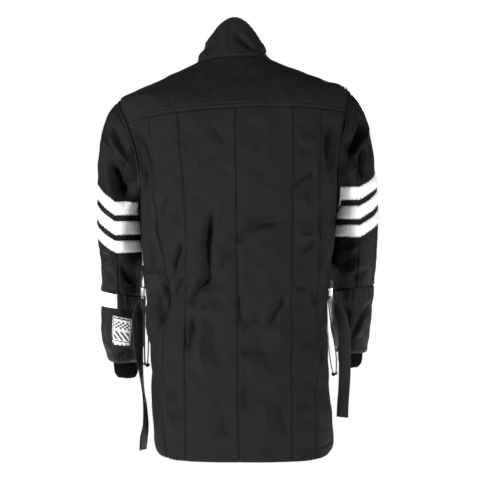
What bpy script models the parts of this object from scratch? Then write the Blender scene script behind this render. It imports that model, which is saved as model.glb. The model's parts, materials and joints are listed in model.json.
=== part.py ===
"""Black racing jacket with white sleeve stripes, filled out as worn.

Metres, +Z up. The front faces -Y and the wearer's left is +X. The origin is the centre of the
neck, level with the collar seam at the back. An angle of 0 degrees on the body is the centre
back, 90 the wearer's left side, 180 the centre front. Round a sleeve, 0 degrees is its front,
90 its outer side, 180 its back and 270 the side next to the body.
"""

import math

import bmesh
import bpy
import numpy as np

OBJECT_NAME = "racing_jacket"

# Cloth and gaps
CLOTH = 0.0015
COLLAR_CLOTH = 0.0025
CUFF_CLOTH = 0.0020
APPLIQUE = 0.0009
SEAM_GAP = 0.0003
SKIN_GAP = 0.0003

# Steps and limits of the surfaces: a step in degrees, a level's, a sleeve section's and a collar
# height's for a normal, how near a seam counts as on it, the least share of a mitre at a corner
# and the angle that stays smooth.
ANGLE_STEP = 0.25
LEVEL_STEP = 0.0004
SECTION_STEP = 0.004
HEIGHT_STEP = 0.01
ON_SEAM = 1e-6
MITRE_LEAST = 0.35
SMOOTH_ANGLE = 40

# Body sections, a row for each height at the side seam and along the shoulder. back and front
# are the depths at the centre lines, back_z and front_z their heights, and dip bows the hem.
BODY_COLUMNS = "level centre half_width back front back_z front_z dip".split()
BODY = (
    (-0.738, -0.0105, 0.1736, 0.1230, 0.1150, -0.7640, -0.7500, -0.0090),
    (-0.700, -0.0080, 0.1742, 0.1225, 0.1150, -0.7160, -0.7080, -0.0030),
    (-0.640, -0.0040, 0.1726, 0.1200, 0.1140, -0.6430, -0.6410, 0.0),
    (-0.580, -0.0015, 0.1722, 0.1180, 0.1130, -0.5800, -0.5800, 0.0),
    (-0.520, 0.0010, 0.1736, 0.1165, 0.1130, -0.5200, -0.5200, 0.0),
    (-0.440, 0.0030, 0.1785, 0.1185, 0.1150, -0.4400, -0.4400, 0.0),
    (-0.360, 0.0020, 0.1860, 0.1230, 0.1190, -0.3600, -0.3610, 0.0),
    (-0.295, 0.0000, 0.1915, 0.1270, 0.1220, -0.2940, -0.2980, 0.0),
    (-0.250, -0.0010, 0.1985, 0.1285, 0.1230, -0.2470, -0.2560, 0.0),
    (-0.200, -0.0010, 0.2110, 0.1275, 0.1220, -0.1920, -0.2140, 0.0),
    (-0.160, 0.0010, 0.2200, 0.1240, 0.1190, -0.1480, -0.1840, 0.0),
    (-0.121, 0.0040, 0.2255, 0.1180, 0.1140, -0.1036, -0.1540, 0.0),
    (-0.090, 0.0070, 0.2265, 0.1115, 0.1080, -0.0860, -0.1340, 0.0),
    (-0.068, 0.0088, 0.2200, 0.1055, 0.1010, -0.0740, -0.1190, 0.0),
    (-0.048, 0.0095, 0.1745, 0.0965, 0.0920, -0.0570, -0.1070, 0.0),
    (-0.026, 0.0100, 0.1220, 0.0815, 0.0800, -0.0330, -0.0930, 0.0),
    (-0.006, 0.0090, 0.0740, 0.0600, 0.0680, 0.0000, -0.0780, 0.0),
)
SQUARENESS = 2.4
SHOULDER_TILT = -0.0447
TILT_FROM = -0.35
TILT_FULL = -0.16
# A section bends evenly from side to middle up to the first level, and as a round shoulder from
# the second one.
EVEN_BEND_BELOW = -0.30
ROUND_BEND_ABOVE = -0.11
NECK_LEVEL = BODY[-1][0]
HEM_LEVEL = BODY[0][0]

# The armhole is an ellipse in angle and level.
ARM_ANGLE = 90.0
ARM_HALF_ANGLE = 29.0
ARM_TOP = -0.068
ARM_BOTTOM = -0.280
ARM_MIDDLE = (ARM_TOP + ARM_BOTTOM) / 2
ARM_HALF = (ARM_TOP - ARM_BOTTOM) / 2
YOKE_TURN = 30
ARM_LOW_TURNS = (-90, -66, -48, -32, -16, 0, 15, YOKE_TURN)
ARM_HIGH_TURNS = (YOKE_TURN, 45, 60, 75, 90)

# Back seams, distance from the middle plane at each level, left positive.
SEAM_COLUMNS = "level centre inner_left inner_right outer_left outer_right".split()
BACK_SEAMS = (
    (-0.738, -0.0025, 0.0980, -0.1010, 0.1350, -0.1450),
    (-0.680, -0.0010, 0.0990, -0.1010, 0.1440, -0.1452),
    (-0.600, 0.0000, 0.1000, -0.1000, 0.1440, -0.1470),
    (-0.530, 0.0000, 0.0995, -0.1000, 0.1412, -0.1500),
    (-0.470, 0.0005, 0.0985, -0.1000, 0.1340, -0.1512),
    (-0.410, 0.0010, 0.0980, -0.1005, 0.1365, -0.1530),
    (-0.340, 0.0020, 0.0971, -0.1015, 0.1480, -0.1580),
    (-0.240, 0.0030, 0.1028, -0.1025, 0.1620, -0.1515),
    (-0.180, 0.0036, 0.1080, -0.1027, 0.1655, -0.1560),
    (-0.121, 0.0036, 0.1131, -0.1027, 0.1685, -0.1545),
)
BACK_STEPS = {"centre": 4, "mid": 3, "side": 4}
FRONT_STEPS = 7
BODY_STEPS = 15
YOKE_STEPS = 4
YOKE_CROWDING = 0.9
ZIP_HALF_OPENING = 0.0045

# Collar: heights of the top edge at the back, side and front, and its size at the top.
COLLAR_TOP_BACK = 0.0760
COLLAR_TOP_SIDE = 0.0320
COLLAR_TOP_FRONT = -0.0160
COLLAR_TOP_HALF_WIDTH = 0.0565
COLLAR_TOP_DEPTH = 0.0470
COLLAR_TOP_CENTRE = 0.0080
COLLAR_STEPS = 3
COLLAR_PEAK = 2.4
COLLAR_LEAN = 1.8
COLLAR_TAB_HALF_ANGLE = 18.0
COLLAR_TAB_HEIGHTS = (0.30, 0.56, 0.82)
COLLAR_TAB_STEPS = 6
COLLAR_TAB_GAP = 0.0008

# Sleeve sections from the armhole to the end of the cuff. outer and inner are the sleeve's two
# edges seen from behind, middle_y is the section's depth and reach half its size along Y.
SLEEVE_COLUMNS = "outer_x outer_z inner_x inner_z middle_y reach".split()
SLEEVES = {
    "left": (
        (0.2300, -0.0768, 0.1925, -0.2860, 0.0000, 0.0680),
        (0.2467, -0.0936, 0.1945, -0.2925, -0.0010, 0.0690),
        (0.2620, -0.1246, 0.1955, -0.2960, -0.0020, 0.0700),
        (0.2700, -0.1597, 0.1960, -0.3020, -0.0030, 0.0705),
        (0.2730, -0.2005, 0.1960, -0.3120, -0.0050, 0.0700),
        (0.2740, -0.2434, 0.1958, -0.3260, -0.0080, 0.0690),
        (0.2757, -0.2844, 0.1952, -0.3432, -0.0130, 0.0675),
        (0.2772, -0.3274, 0.1942, -0.3640, -0.0210, 0.0660),
        (0.2756, -0.3620, 0.1934, -0.3880, -0.0320, 0.0645),
        (0.2730, -0.3960, 0.1930, -0.4140, -0.0460, 0.0630),
        (0.2738, -0.4300, 0.1928, -0.4430, -0.0640, 0.0620),
        (0.2752, -0.4515, 0.1902, -0.4640, -0.0760, 0.0615),
        (0.2775, -0.4887, 0.1895, -0.4980, -0.0960, 0.0610),
        (0.2803, -0.5300, 0.1911, -0.5360, -0.1180, 0.0600),
        (0.2775, -0.5628, 0.1945, -0.5640, -0.1360, 0.0560),
        (0.2700, -0.5860, 0.2020, -0.5860, -0.1500, 0.0470),
        (0.2592, -0.6040, 0.2092, -0.6040, -0.1620, 0.0340),
        (0.2583, -0.6230, 0.2110, -0.6230, -0.1760, 0.0325),
        (0.2560, -0.6400, 0.2130, -0.6400, -0.1880, 0.0310),
    ),
    "right": (
        (0.2139, -0.0580, 0.1925, -0.2760, 0.0000, 0.0680),
        (0.2291, -0.0741, 0.1940, -0.2800, -0.0010, 0.0690),
        (0.2475, -0.1060, 0.1945, -0.2850, -0.0020, 0.0700),
        (0.2584, -0.1443, 0.1945, -0.2920, -0.0030, 0.0705),
        (0.2634, -0.1849, 0.1942, -0.3020, -0.0050, 0.0700),
        (0.2675, -0.2238, 0.1935, -0.3150, -0.0080, 0.0690),
        (0.2710, -0.2680, 0.1925, -0.3310, -0.0130, 0.0675),
        (0.2738, -0.3180, 0.1910, -0.3530, -0.0210, 0.0660),
        (0.2735, -0.3560, 0.1890, -0.3760, -0.0320, 0.0645),
        (0.2728, -0.3910, 0.1868, -0.4020, -0.0460, 0.0630),
        (0.2721, -0.4230, 0.1862, -0.4310, -0.0640, 0.0620),
        (0.2718, -0.4414, 0.1860, -0.4495, -0.0760, 0.0615),
        (0.2705, -0.4800, 0.1872, -0.4840, -0.0960, 0.0610),
        (0.2694, -0.5200, 0.1885, -0.5220, -0.1180, 0.0600),
        (0.2680, -0.5500, 0.1925, -0.5500, -0.1360, 0.0560),
        (0.2630, -0.5700, 0.2000, -0.5700, -0.1480, 0.0470),
        (0.2565, -0.5836, 0.2065, -0.5836, -0.1570, 0.0340),
        (0.2560, -0.6010, 0.2085, -0.6010, -0.1700, 0.0325),
        (0.2530, -0.6180, 0.2110, -0.6180, -0.1820, 0.0310),
    ),
}
SLEEVE_BLEND = 5.0
ELBOW_SECTION = 11
CUFF_SECTION = 16
LAST_SECTION = 18
SLEEVE_FRONT_TURN = -32
SLEEVE_BACK_TURN = 180
HEAD_STEPS = 4
LOWER_STEPS = 5
FOREARM_STEPS = 6
CUFF_STEPS = 2
GATHERS = 11
GATHER_DEPTH = 0.0022
GATHER_ELBOW_REACH = 1.6
GATHER_WRIST_REACH = 1.3
GATHER_LEAST = 0.2
GATHER_AT_WRIST = 0.6
RIBS = 24
RIB_HEIGHT = 0.0008

# Stripe edges at the sleeve's back seam, and how far each rises to the outer side.
STRIPE_COLUMNS = "edge_left edge_right rise_left rise_right".split()
STRIPE_EDGES = (
    (-0.2790, -0.2500, 0.0480, 0.0340),
    (-0.3035, -0.2745, 0.0450, 0.0340),
    (-0.3150, -0.2860, 0.0440, 0.0380),
    (-0.3410, -0.3110, 0.0440, 0.0380),
    (-0.3520, -0.3220, 0.0410, 0.0380),
    (-0.3750, -0.3450, 0.0390, 0.0380),
)
STRIPE_CLEAR_OF_ARMHOLE = 0.008
STRIPE_SEARCH_STEPS = 600

# Largest folds. depth is in for negative, out for positive; a path is (distance from the middle
# plane, level) on the body's back or front, and (turn, section) on a sleeve.
FOLD_REACH = 1.6
BACK_FOLDS = (
    (-0.0050, 0.015, ((0.040, -0.273), (0.053, -0.320), (0.058, -0.400), (0.066, -0.446), (0.081, -0.470))),
    (0.0040, 0.018, ((0.022, -0.300), (0.032, -0.350), (0.030, -0.405))),
    (-0.0040, 0.016, ((0.057, -0.446), (0.030, -0.416), (0.001, -0.386))),
    (-0.0035, 0.017, ((-0.003, -0.340), (-0.037, -0.323), (-0.059, -0.325), (-0.096, -0.297))),
    (-0.0045, 0.016, ((-0.105, -0.392), (-0.125, -0.374), (-0.142, -0.350))),
    (-0.0040, 0.016, ((0.148, -0.338), (0.128, -0.322), (0.108, -0.308))),
    (-0.0050, 0.015, ((0.172, -0.416), (0.150, -0.413), (0.132, -0.416))),
    (-0.0040, 0.018, ((0.086, -0.492), (0.083, -0.540), (0.096, -0.572))),
    (0.0040, 0.016, ((0.084, -0.462), (0.062, -0.476), (0.044, -0.466))),
    (-0.0040, 0.018, ((-0.100, -0.250), (-0.125, -0.238), (-0.148, -0.222))),
    (-0.0040, 0.017, ((-0.066, -0.515), (-0.078, -0.490), (-0.089, -0.466))),
    (0.0035, 0.022, ((-0.020, -0.560), (0.030, -0.572), (0.085, -0.556))),
    (-0.0035, 0.020, ((-0.125, -0.560), (-0.132, -0.610), (-0.124, -0.655))),
)
FRONT_FOLDS = (
    (-0.0045, 0.017, ((0.150, -0.250), (0.118, -0.285), (0.096, -0.330))),
    (-0.0040, 0.017, ((-0.148, -0.255), (-0.122, -0.282), (-0.104, -0.320))),
    (-0.0045, 0.016, ((0.160, -0.425), (0.120, -0.445), (0.080, -0.438))),
    (-0.0045, 0.016, ((-0.158, -0.432), (-0.118, -0.440), (-0.086, -0.458))),
    (0.0040, 0.019, ((0.060, -0.500), (0.075, -0.560), (0.070, -0.615))),
    (0.0040, 0.019, ((-0.070, -0.485), (-0.082, -0.540), (-0.070, -0.590))),
)
SLEEVE_FOLDS = {
    "left": (
        (-0.0055, 0.014, ((108, 2.2), (140, 3.2), (176, 4.0), (205, 4.6))),
        (0.0045, 0.014, ((112, 3.2), (146, 4.2), (180, 5.0))),
        (-0.0060, 0.016, ((118, 4.6), (152, 5.4), (190, 6.0))),
        (-0.0045, 0.014, ((118, 8.0), (160, 8.8), (205, 9.2))),
        (-0.0045, 0.014, ((60, 8.6), (20, 9.4), (-20, 9.0))),
        (-0.0050, 0.013, ((60, 4.0), (30, 5.2), (0, 6.2))),
        (-0.0050, 0.012, ((118, 14.3), (165, 14.8), (215, 14.6))),
        (-0.0045, 0.013, ((50, 12.6), (10, 13.6), (-25, 14.4))),
    ),
    "right": (
        (-0.0050, 0.013, ((150, 1.2), (138, 2.6), (146, 4.0), (128, 5.2))),
        (0.0045, 0.014, ((172, 1.6), (162, 3.0), (168, 4.4))),
        (-0.0060, 0.014, ((202, 5.2), (176, 5.8), (148, 5.2))),
        (-0.0045, 0.014, ((120, 8.2), (158, 9.0), (200, 9.6))),
        (-0.0045, 0.014, ((56, 8.8), (18, 9.6), (-22, 9.2))),
        (-0.0050, 0.013, ((62, 4.2), (28, 5.0), (-4, 6.0))),
        (-0.0055, 0.013, ((108, 11.8), (140, 12.8), (176, 13.8))),
        (-0.0050, 0.013, ((112, 13.4), (146, 14.2), (182, 14.8))),
    ),
}
# The left side of the collar buckles: a bulge low down with a notch above it.
COLLAR_BULGE = 0.0085
COLLAR_BULGE_ANGLE = 80.0
COLLAR_BULGE_WIDTH = 34.0
COLLAR_BULGE_HEIGHT = 0.36
COLLAR_BULGE_RISE = 0.22

# Label place on the left forearm and the white band under the elbow seam.
PATCH_TURNS = (206.0, 158.0)
PATCH_SECTIONS = (12.28, 13.95)
PATCH_SLANT = 0.10
PATCH_GAP = 0.0008
PATCH_COLUMNS = 4
PATCH_ROWS = 6
PATCH_TWIST = 5.0
BAND_END_TURN = 172
BAND_MARGIN = 0.03

# Zip
TAPE_WIDTH = 0.0130
TAPE_THICK = 0.0008
CHAIN_WIDTH = 0.0060
CHAIN_THICK = 0.0024
SLIDER_LEVEL = -0.034
SLIDER_SIZE = (0.0080, 0.0022, 0.0125)
BRIDGE_BAR = (0.0026, 0.0012, 0.0096)
BRIDGE_CLEARANCE = 0.0023
BRIDGE_LEG = 0.0012
LEG_OVERLAP = 0.0004
PULL_PIN_RADIUS = 0.0008
PULL_EYE = (0.0056, 0.0070)
PULL_ARM = 0.0013
PULL_THICK = 0.0014
PULL_PLATE = (0.0082, 0.0240)

# Side adjusters
WEBBING_WIDTH = 0.0250
WEBBING_THICK = 0.0014
ANCHOR_ANGLE = 103.0
ANCHOR_LEVELS = (-0.4360, -0.4480, -0.4600)
TAB_ANGLE = 90.0
# The tab's route: stand-off from the cloth, and level.
TAB_ROUTE = (
    (0.0010, -0.4000),
    (0.0010, -0.4150),
    (0.0010, -0.4280),
    (0.0010, -0.4390),
    (0.0013, -0.4430),
    (0.0026, -0.4455),
    (0.0049, -0.4464),
    (0.0073, -0.4455),
    (0.0086, -0.4430),
    (0.0087, -0.4390),
    (0.0066, -0.4290),
    (0.0030, -0.4170),
    (0.0027, -0.4090),
    (0.0027, -0.4010),
)
RING_WIRE = 0.00125
RING_INSIDE = 0.0270
RING_CORNER = 0.0022
RING_TOP = -0.4430
RING_FOOT = -0.4640
RING_STAND_OFFS = (0.0034, 0.0063)
STRAP_STEPS = 2
TAB_STEPS = 1

# Strap routes below the anchor, a row for each point: distance from the middle plane, y, z and
# the turn of the webbing's width from X towards Y. The last point is the free end.
STRAPS = {
    "left": (
        (0.1790, -0.0310, -0.4900, 90),
        (0.1778, -0.0300, -0.5200, 90),
        (0.1776, -0.0270, -0.5500, 90),
        (0.1778, -0.0230, -0.5780, 90),
        (0.1788, -0.0205, -0.5900, 90),
        (0.1810, -0.0185, -0.5955, 90),
        (0.1832, -0.0165, -0.5910, 90),
        (0.1842, -0.0140, -0.5780, 90),
        (0.1840, -0.0080, -0.5450, 90),
        (0.1834, -0.0030, -0.5050, 90),
        (0.1823, 0.0000, -0.4760, 90),
        (0.1822, 0.0000, -0.4645, 90),
        (0.1836, 0.0000, -0.4613, 90),
        (0.1860, 0.0000, -0.4608, 90),
        (0.1885, 0.0000, -0.4613, 90),
        (0.1899, 0.0000, -0.4645, 90),
        (0.1912, 0.0030, -0.4740, 78),
        (0.1940, 0.0120, -0.4900, 52),
        (0.1955, 0.0200, -0.5150, 40),
        (0.1935, 0.0240, -0.5500, 48),
        (0.1905, 0.0250, -0.5850, 64),
        (0.1870, 0.0250, -0.6150, 78),
        (0.1835, 0.0250, -0.6450, 84),
        (0.1800, 0.0260, -0.6750, 76),
        (0.1790, 0.0260, -0.7050, 68),
        (0.1825, 0.0250, -0.7320, 56),
        (0.1845, 0.0240, -0.7560, 60),
    ),
    "right": (
        (0.1745, -0.0310, -0.4900, 90),
        (0.1752, -0.0300, -0.5200, 90),
        (0.1778, -0.0280, -0.5600, 90),
        (0.1815, -0.0250, -0.5930, 90),
        (0.1850, -0.0225, -0.6090, 90),
        (0.1888, -0.0200, -0.6140, 90),
        (0.1916, -0.0175, -0.6070, 90),
        (0.1918, -0.0140, -0.5870, 90),
        (0.1865, -0.0080, -0.5450, 90),
        (0.1795, -0.0030, -0.5050, 90),
        (0.1761, 0.0000, -0.4760, 90),
        (0.1760, 0.0000, -0.4645, 90),
        (0.1774, 0.0000, -0.4613, 90),
        (0.1799, 0.0000, -0.4608, 90),
        (0.1824, 0.0000, -0.4613, 90),
        (0.1838, 0.0000, -0.4645, 90),
        (0.1862, 0.0030, -0.4720, 76),
        (0.1930, 0.0120, -0.4870, 50),
        (0.2010, 0.0205, -0.5100, 34),
        (0.2048, 0.0245, -0.5450, 28),
        (0.2050, 0.0260, -0.5800, 28),
        (0.2046, 0.0265, -0.6150, 30),
        (0.2030, 0.0265, -0.6450, 34),
        (0.2012, 0.0262, -0.6700, 32),
        (0.2005, 0.0260, -0.6930, 30),
    ),
}


def columns_of(names, rows):
    return {name: np.array(column, float) for name, column in zip(names, zip(*rows))}


BODY_TABLE = columns_of(BODY_COLUMNS, BODY)
SEAM_TABLE = columns_of(SEAM_COLUMNS, BACK_SEAMS)
STRIPE_TABLE = columns_of(STRIPE_COLUMNS, STRIPE_EDGES)
SLEEVE_TABLES = {side: columns_of(SLEEVE_COLUMNS, rows) for side, rows in SLEEVES.items()}


def through(knots, values, at):
    """The smooth curve through the values at the knots, with no swing past them."""
    secants = np.diff(values) / np.diff(knots)
    before, after = secants[:-1], secants[1:]
    same_way = before * after > 0
    total = np.where(same_way, before + after, 1.0)
    slopes = np.where(same_way, 2 * before * after / total, 0.0)
    slopes = np.concatenate([secants[:1], slopes, secants[-1:]])
    at = np.clip(at, knots[0], knots[-1])
    low = np.clip(np.searchsorted(knots, at) - 1, 0, len(knots) - 2)
    step = knots[low + 1] - knots[low]
    part = (at - knots[low]) / step
    start = (1 + 2 * part) * values[low] + part * step * slopes[low]
    end = (3 - 2 * part) * values[low + 1] - (1 - part) * step * slopes[low + 1]
    return (1 - part) ** 2 * start + part**2 * end


def ramp(at, start, end):
    part = np.clip((at - start) / (end - start), 0, 1)
    return part * part * (3 - 2 * part)


def unit(vectors):
    return vectors / np.linalg.norm(vectors, axis=-1, keepdims=True)


def body_form(angle, level):
    """The body's outer surface without its folds."""
    angle, level = np.broadcast_arrays(np.asarray(angle, float), np.asarray(level, float))
    row = {name: through(BODY_TABLE["level"], BODY_TABLE[name], level) for name in BODY_COLUMNS}
    sine = np.sin(np.radians(angle))
    cosine = np.cos(np.radians(angle))
    side = np.sign(sine) * np.abs(sine) ** (2 / SQUARENESS)
    away = np.abs(cosine) ** (2 / SQUARENESS)
    behind = cosine > 0
    x = row["centre"] + row["half_width"] * side
    y = np.where(behind, row["back"], -row["front"]) * away
    middle_z = np.where(behind, row["back_z"], row["front_z"])
    bend = away ** (1 + ramp(level, EVEN_BEND_BELOW, ROUND_BEND_ABOVE))
    z = level + (middle_z - level) * bend + row["dip"] * 4 * away * (1 - away)
    z = z + SHOULDER_TILT * (x - row["centre"]) * ramp(level, TILT_FROM, TILT_FULL)
    return np.stack([x, y, z], axis=-1)


def body_angle(x, level):
    """The angle at which the back is this far from the middle plane."""
    centre = through(BODY_TABLE["level"], BODY_TABLE["centre"], level)
    half = through(BODY_TABLE["level"], BODY_TABLE["half_width"], level)
    part = np.clip((x - centre) / half, -1, 1)
    return np.degrees(np.sign(part) * np.arcsin(np.abs(part) ** (SQUARENESS / 2)))


def surface_normal(form, first, second):
    """Unit normals of form(first, second), from steps along both."""
    step = LEVEL_STEP if form is body_form else SECTION_STEP
    along_first = form(first + ANGLE_STEP, second) - form(first - ANGLE_STEP, second)
    along_second = form(first, second + step) - form(first, second - step)
    return unit(np.cross(along_second, along_first))


def armhole(turn):
    """Angle and level on the body of a point of the left armhole."""
    turn = np.radians(turn)
    return ARM_ANGLE + ARM_HALF_ANGLE * np.cos(turn), ARM_MIDDLE + ARM_HALF * np.sin(turn)


def mirror(side, points):
    return points * np.array([1.0 if side == "left" else -1.0, 1.0, 1.0])


def sleeve_form(side, turn, section):
    """The sleeve's outer surface without its folds."""
    turn, section = np.broadcast_arrays(np.asarray(turn, float), np.asarray(section, float))
    table = SLEEVE_TABLES[side]
    knots = np.arange(len(table["reach"]), dtype=float)
    row = {name: through(knots, table[name], section) for name in SLEEVE_COLUMNS}
    sine = np.sin(np.radians(turn))
    cosine = np.cos(np.radians(turn))

    def oval(values):
        across = 0.5 * (1 + sine)
        x = values["inner_x"] + (values["outer_x"] - values["inner_x"]) * across
        z = values["inner_z"] + (values["outer_z"] - values["inner_z"]) * across
        return np.stack([x, values["middle_y"] - values["reach"] * cosine, z], axis=-1)

    first = {name: table[name][0] for name in SLEEVE_COLUMNS}
    angle, level = armhole(turn)
    hole = mirror(side, body_form(angle if side == "left" else -angle, level))
    left_over = 1 - ramp(section, 0, SLEEVE_BLEND)[..., None]
    return mirror(side, oval(row) + left_over * (hole - oval(first)))


def sleeve_normal(side, turn, section):
    def form(turns, sections):
        return mirror(side, sleeve_form(side, turns, sections))

    section = np.maximum(section, 0.01)
    return mirror(side, surface_normal(form, turn, section))


def armhole_normal(side, turn):
    """The direction of both walls at the armhole seam."""
    angle, level = armhole(turn)
    body = surface_normal(body_form, angle if side == "left" else -angle, level)
    return unit(body + sleeve_normal(side, turn, np.full_like(np.asarray(turn, float), 0.3)))


def body_normal(angle, level):
    """Unit normals of the body, turned to the shared direction at the armholes and the neck."""
    normal = surface_normal(body_form, angle, level)
    across = (np.abs(angle) - ARM_ANGLE) / ARM_HALF_ANGLE
    up = (level - ARM_MIDDLE) / ARM_HALF
    on_edge = np.abs(np.hypot(across, up) - 1) < ON_SEAM
    turn = np.degrees(np.arctan2(up, across))
    for side, here in (("left", angle > 0), ("right", angle < 0)):
        spot = on_edge & here
        normal[spot] = armhole_normal(side, turn[spot])
    neck = np.abs(level - NECK_LEVEL) < ON_SEAM
    normal[neck] = collar_normal(angle[neck], np.zeros(neck.sum()))
    return normal


def collar_form(angle, height):
    """The collar's outer surface; height is 0 at the seam and 1 at the top edge."""
    angle, height = np.broadcast_arrays(np.asarray(angle, float), np.asarray(height, float))
    base = body_form(angle, NECK_LEVEL)
    cosine = np.cos(np.radians(angle))
    sine = np.sin(np.radians(angle))
    crown = np.where(
        cosine > 0,
        (COLLAR_TOP_BACK - COLLAR_TOP_SIDE) * np.abs(cosine) ** COLLAR_PEAK,
        (COLLAR_TOP_FRONT - COLLAR_TOP_SIDE) * np.abs(cosine),
    )
    top = np.stack(
        [
            COLLAR_TOP_CENTRE + COLLAR_TOP_HALF_WIDTH * sine,
            COLLAR_TOP_DEPTH * cosine,
            COLLAR_TOP_SIDE + crown,
        ],
        axis=-1,
    )
    lean = (1 - height)[..., None] ** COLLAR_LEAN
    point = top + (base - top) * lean
    point[..., 2] = base[..., 2] + (top[..., 2] - base[..., 2]) * height
    near = np.exp(-(((angle - COLLAR_BULGE_ANGLE) / COLLAR_BULGE_WIDTH) ** 2))
    rise = np.exp(-(((height - COLLAR_BULGE_HEIGHT) / COLLAR_BULGE_RISE) ** 2))
    point[..., 0] += COLLAR_BULGE * near * rise * (1 - lean[..., 0])
    return point


def collar_normal(angle, height):
    angle = np.asarray(angle, float)
    height = np.asarray(height, float)
    high = np.minimum(height + HEIGHT_STEP, 1)
    low = np.maximum(height - HEIGHT_STEP, 0)
    up = collar_form(angle, high) - collar_form(angle, low)
    round_it = collar_form(angle + ANGLE_STEP, height) - collar_form(angle - ANGLE_STEP, height)
    normal = unit(np.cross(up, round_it))
    seam = height < ON_SEAM
    body = surface_normal(body_form, angle[seam], np.full(seam.sum(), NECK_LEVEL - 0.001))
    normal[seam] = unit(normal[seam] + body)
    return normal


def fold_lines():
    """Every fold as its depth, width and path in space."""
    lines = []
    for depth, width, path in BACK_FOLDS + FRONT_FOLDS:
        x, level = np.array(path).T
        angle = body_angle(x, level)
        if (depth, width, path) in FRONT_FOLDS:
            angle = np.sign(angle) * 180 - angle
        lines.append((depth, width, body_form(angle, level)))
    for side, rows in SLEEVE_FOLDS.items():
        for depth, width, path in rows:
            turn, section = np.array(path).T
            lines.append((depth, width, sleeve_form(side, turn, section)))
    return lines


FOLDS = fold_lines()


def fold_height(points):
    """How far the folds lift the cloth at each point."""
    height = np.zeros(points.shape[:-1])
    for depth, width, path in FOLDS:
        nearest = np.full(height.shape, np.inf)
        place = np.zeros(height.shape)
        for index, (start, end) in enumerate(zip(path, path[1:])):
            run = end - start
            part = np.clip((points - start) @ run / (run @ run), 0, 1)
            away = np.linalg.norm(points - start - part[..., None] * run, axis=-1)
            closer = away < nearest
            nearest = np.where(closer, away, nearest)
            place = np.where(closer, (index + part) / (len(path) - 1), place)
        taper = 1 - (2 * place - 1) ** 4
        height += depth * taper * np.clip(1 - (nearest / (FOLD_REACH * width)) ** 2, 0, 1) ** 2
    return height


def inset(points, normals, ring):
    """Draws the border of a grid of points in by half the seam gap."""
    rows, columns = points.shape[:2]
    moved = points.copy()
    if ring:
        loops = [[(0, c) for c in range(columns - 1)], [(rows - 1, c) for c in range(columns - 1)]]
    else:
        loops = [
            [(0, c) for c in range(columns)]
            + [(r, columns - 1) for r in range(1, rows)]
            + [(rows - 1, c) for c in range(columns - 2, -1, -1)]
            + [(r, 0) for r in range(rows - 2, 0, -1)]
        ]
    for loop in loops:
        spots = np.array(loop)
        here = points[spots[:, 0], spots[:, 1]]
        up = normals[spots[:, 0], spots[:, 1]]
        before = unit(np.cross(up, here - np.roll(here, 1, axis=0)))
        after = unit(np.cross(up, np.roll(here, -1, axis=0) - here))
        inwards = before + after
        share = np.maximum(1 + np.sum(before * after, axis=1), MITRE_LEAST)
        inwards = inwards / share[:, None]
        row, column = loop[1]
        towards = points[abs(row - 1), column] - points[row, column]
        if towards @ inwards[1] < 0:
            inwards = -inwards
        moved[spots[:, 0], spots[:, 1]] = here + inwards * SEAM_GAP / 2
    if ring:
        moved[:, -1] = moved[:, 0]
    return moved


def finish_mesh(name, bm, material, smooth=True):
    bmesh.ops.recalc_face_normals(bm, faces=bm.faces)
    mesh = bpy.data.meshes.new(name)
    bm.to_mesh(mesh)
    bm.free()
    mesh.materials.append(material)
    if smooth:
        mesh.shade_smooth()
        mesh.set_sharp_from_angle(angle=math.radians(SMOOTH_ANGLE))
    obj = bpy.data.objects.new(name, mesh)
    PARTS.objects.link(obj)
    return obj


def add_wall(name, outer, inner, material, ring=False, short_splits=False):
    """A cloth wall between two grids of points; a ring's last column closes on its first."""
    rows, columns = outer.shape[:2]
    bm = bmesh.new()
    row_of = bm.verts.layers.int.new("row")
    column_of = bm.verts.layers.int.new("column")
    bmesh.ops.create_grid(bm, x_segments=columns - 1, y_segments=rows - 1, size=0.5)
    for vert in bm.verts:
        vert[row_of] = round((vert.co.y + 0.5) * (rows - 1))
        vert[column_of] = round((vert.co.x + 0.5) * (columns - 1))
        vert.co = inner[vert[row_of]][vert[column_of]]
    if ring:
        bmesh.ops.remove_doubles(bm, verts=bm.verts, dist=ON_SEAM)
    skin = bmesh.ops.extrude_face_region(bm, geom=bm.faces[:])["geom"]
    for vert in (item for item in skin if isinstance(item, bmesh.types.BMVert)):
        vert.co = outer[vert[row_of]][vert[column_of]]
    if short_splits:
        split_short(bm, row_of, column_of, outer)
    bmesh.ops.triangulate(bm, faces=bm.faces, quad_method="FIXED")
    return finish_mesh(name, bm, material)


def split_short(bm, row_of, column_of, outer):
    """Splits both skins' quads along the diagonal that is the shorter one on the outer skin."""

    def rank(pair):
        spots = sorted((vert[row_of], vert[column_of]) for vert in pair)
        return round(float(np.linalg.norm(outer[spots[0]] - outer[spots[1]])), 6), spots

    for face in bm.faces[:]:
        first, second, third, fourth = face.verts
        bmesh.utils.face_split(face, *min((first, third), (second, fourth), key=rank))


def add_panel(
    name, points, normals, material, cloth=CLOTH, ring=False, lift=None, short_splits=False
):
    """A cut piece: its folds raised, its border drawn in, and its wall hung inside the form."""
    outer = points + normals * fold_height(points)[..., None]
    outer = inset(outer, normals, ring)
    inner = outer - normals * cloth
    if lift is not None:
        outer = outer + normals * lift[..., None]
    return add_wall(name, outer, inner, material, ring, short_splits)


def new_material(name, colour, roughness, metallic=0.0):
    material = bpy.data.materials.new(name)
    material.use_nodes = True
    shader = material.node_tree.nodes["Principled BSDF"]
    shader.inputs["Base Color"].default_value = (*colour, 1.0)
    shader.inputs["Roughness"].default_value = roughness
    shader.inputs["Metallic"].default_value = metallic
    return material


def body_levels():
    """Levels of the rows from the hem up to the yoke seam."""
    below = np.linspace(HEM_LEVEL, ARM_BOTTOM, BODY_STEPS + 1)[:-1]
    return np.concatenate([below, armhole(np.array(ARM_LOW_TURNS, float))[1]])


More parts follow.
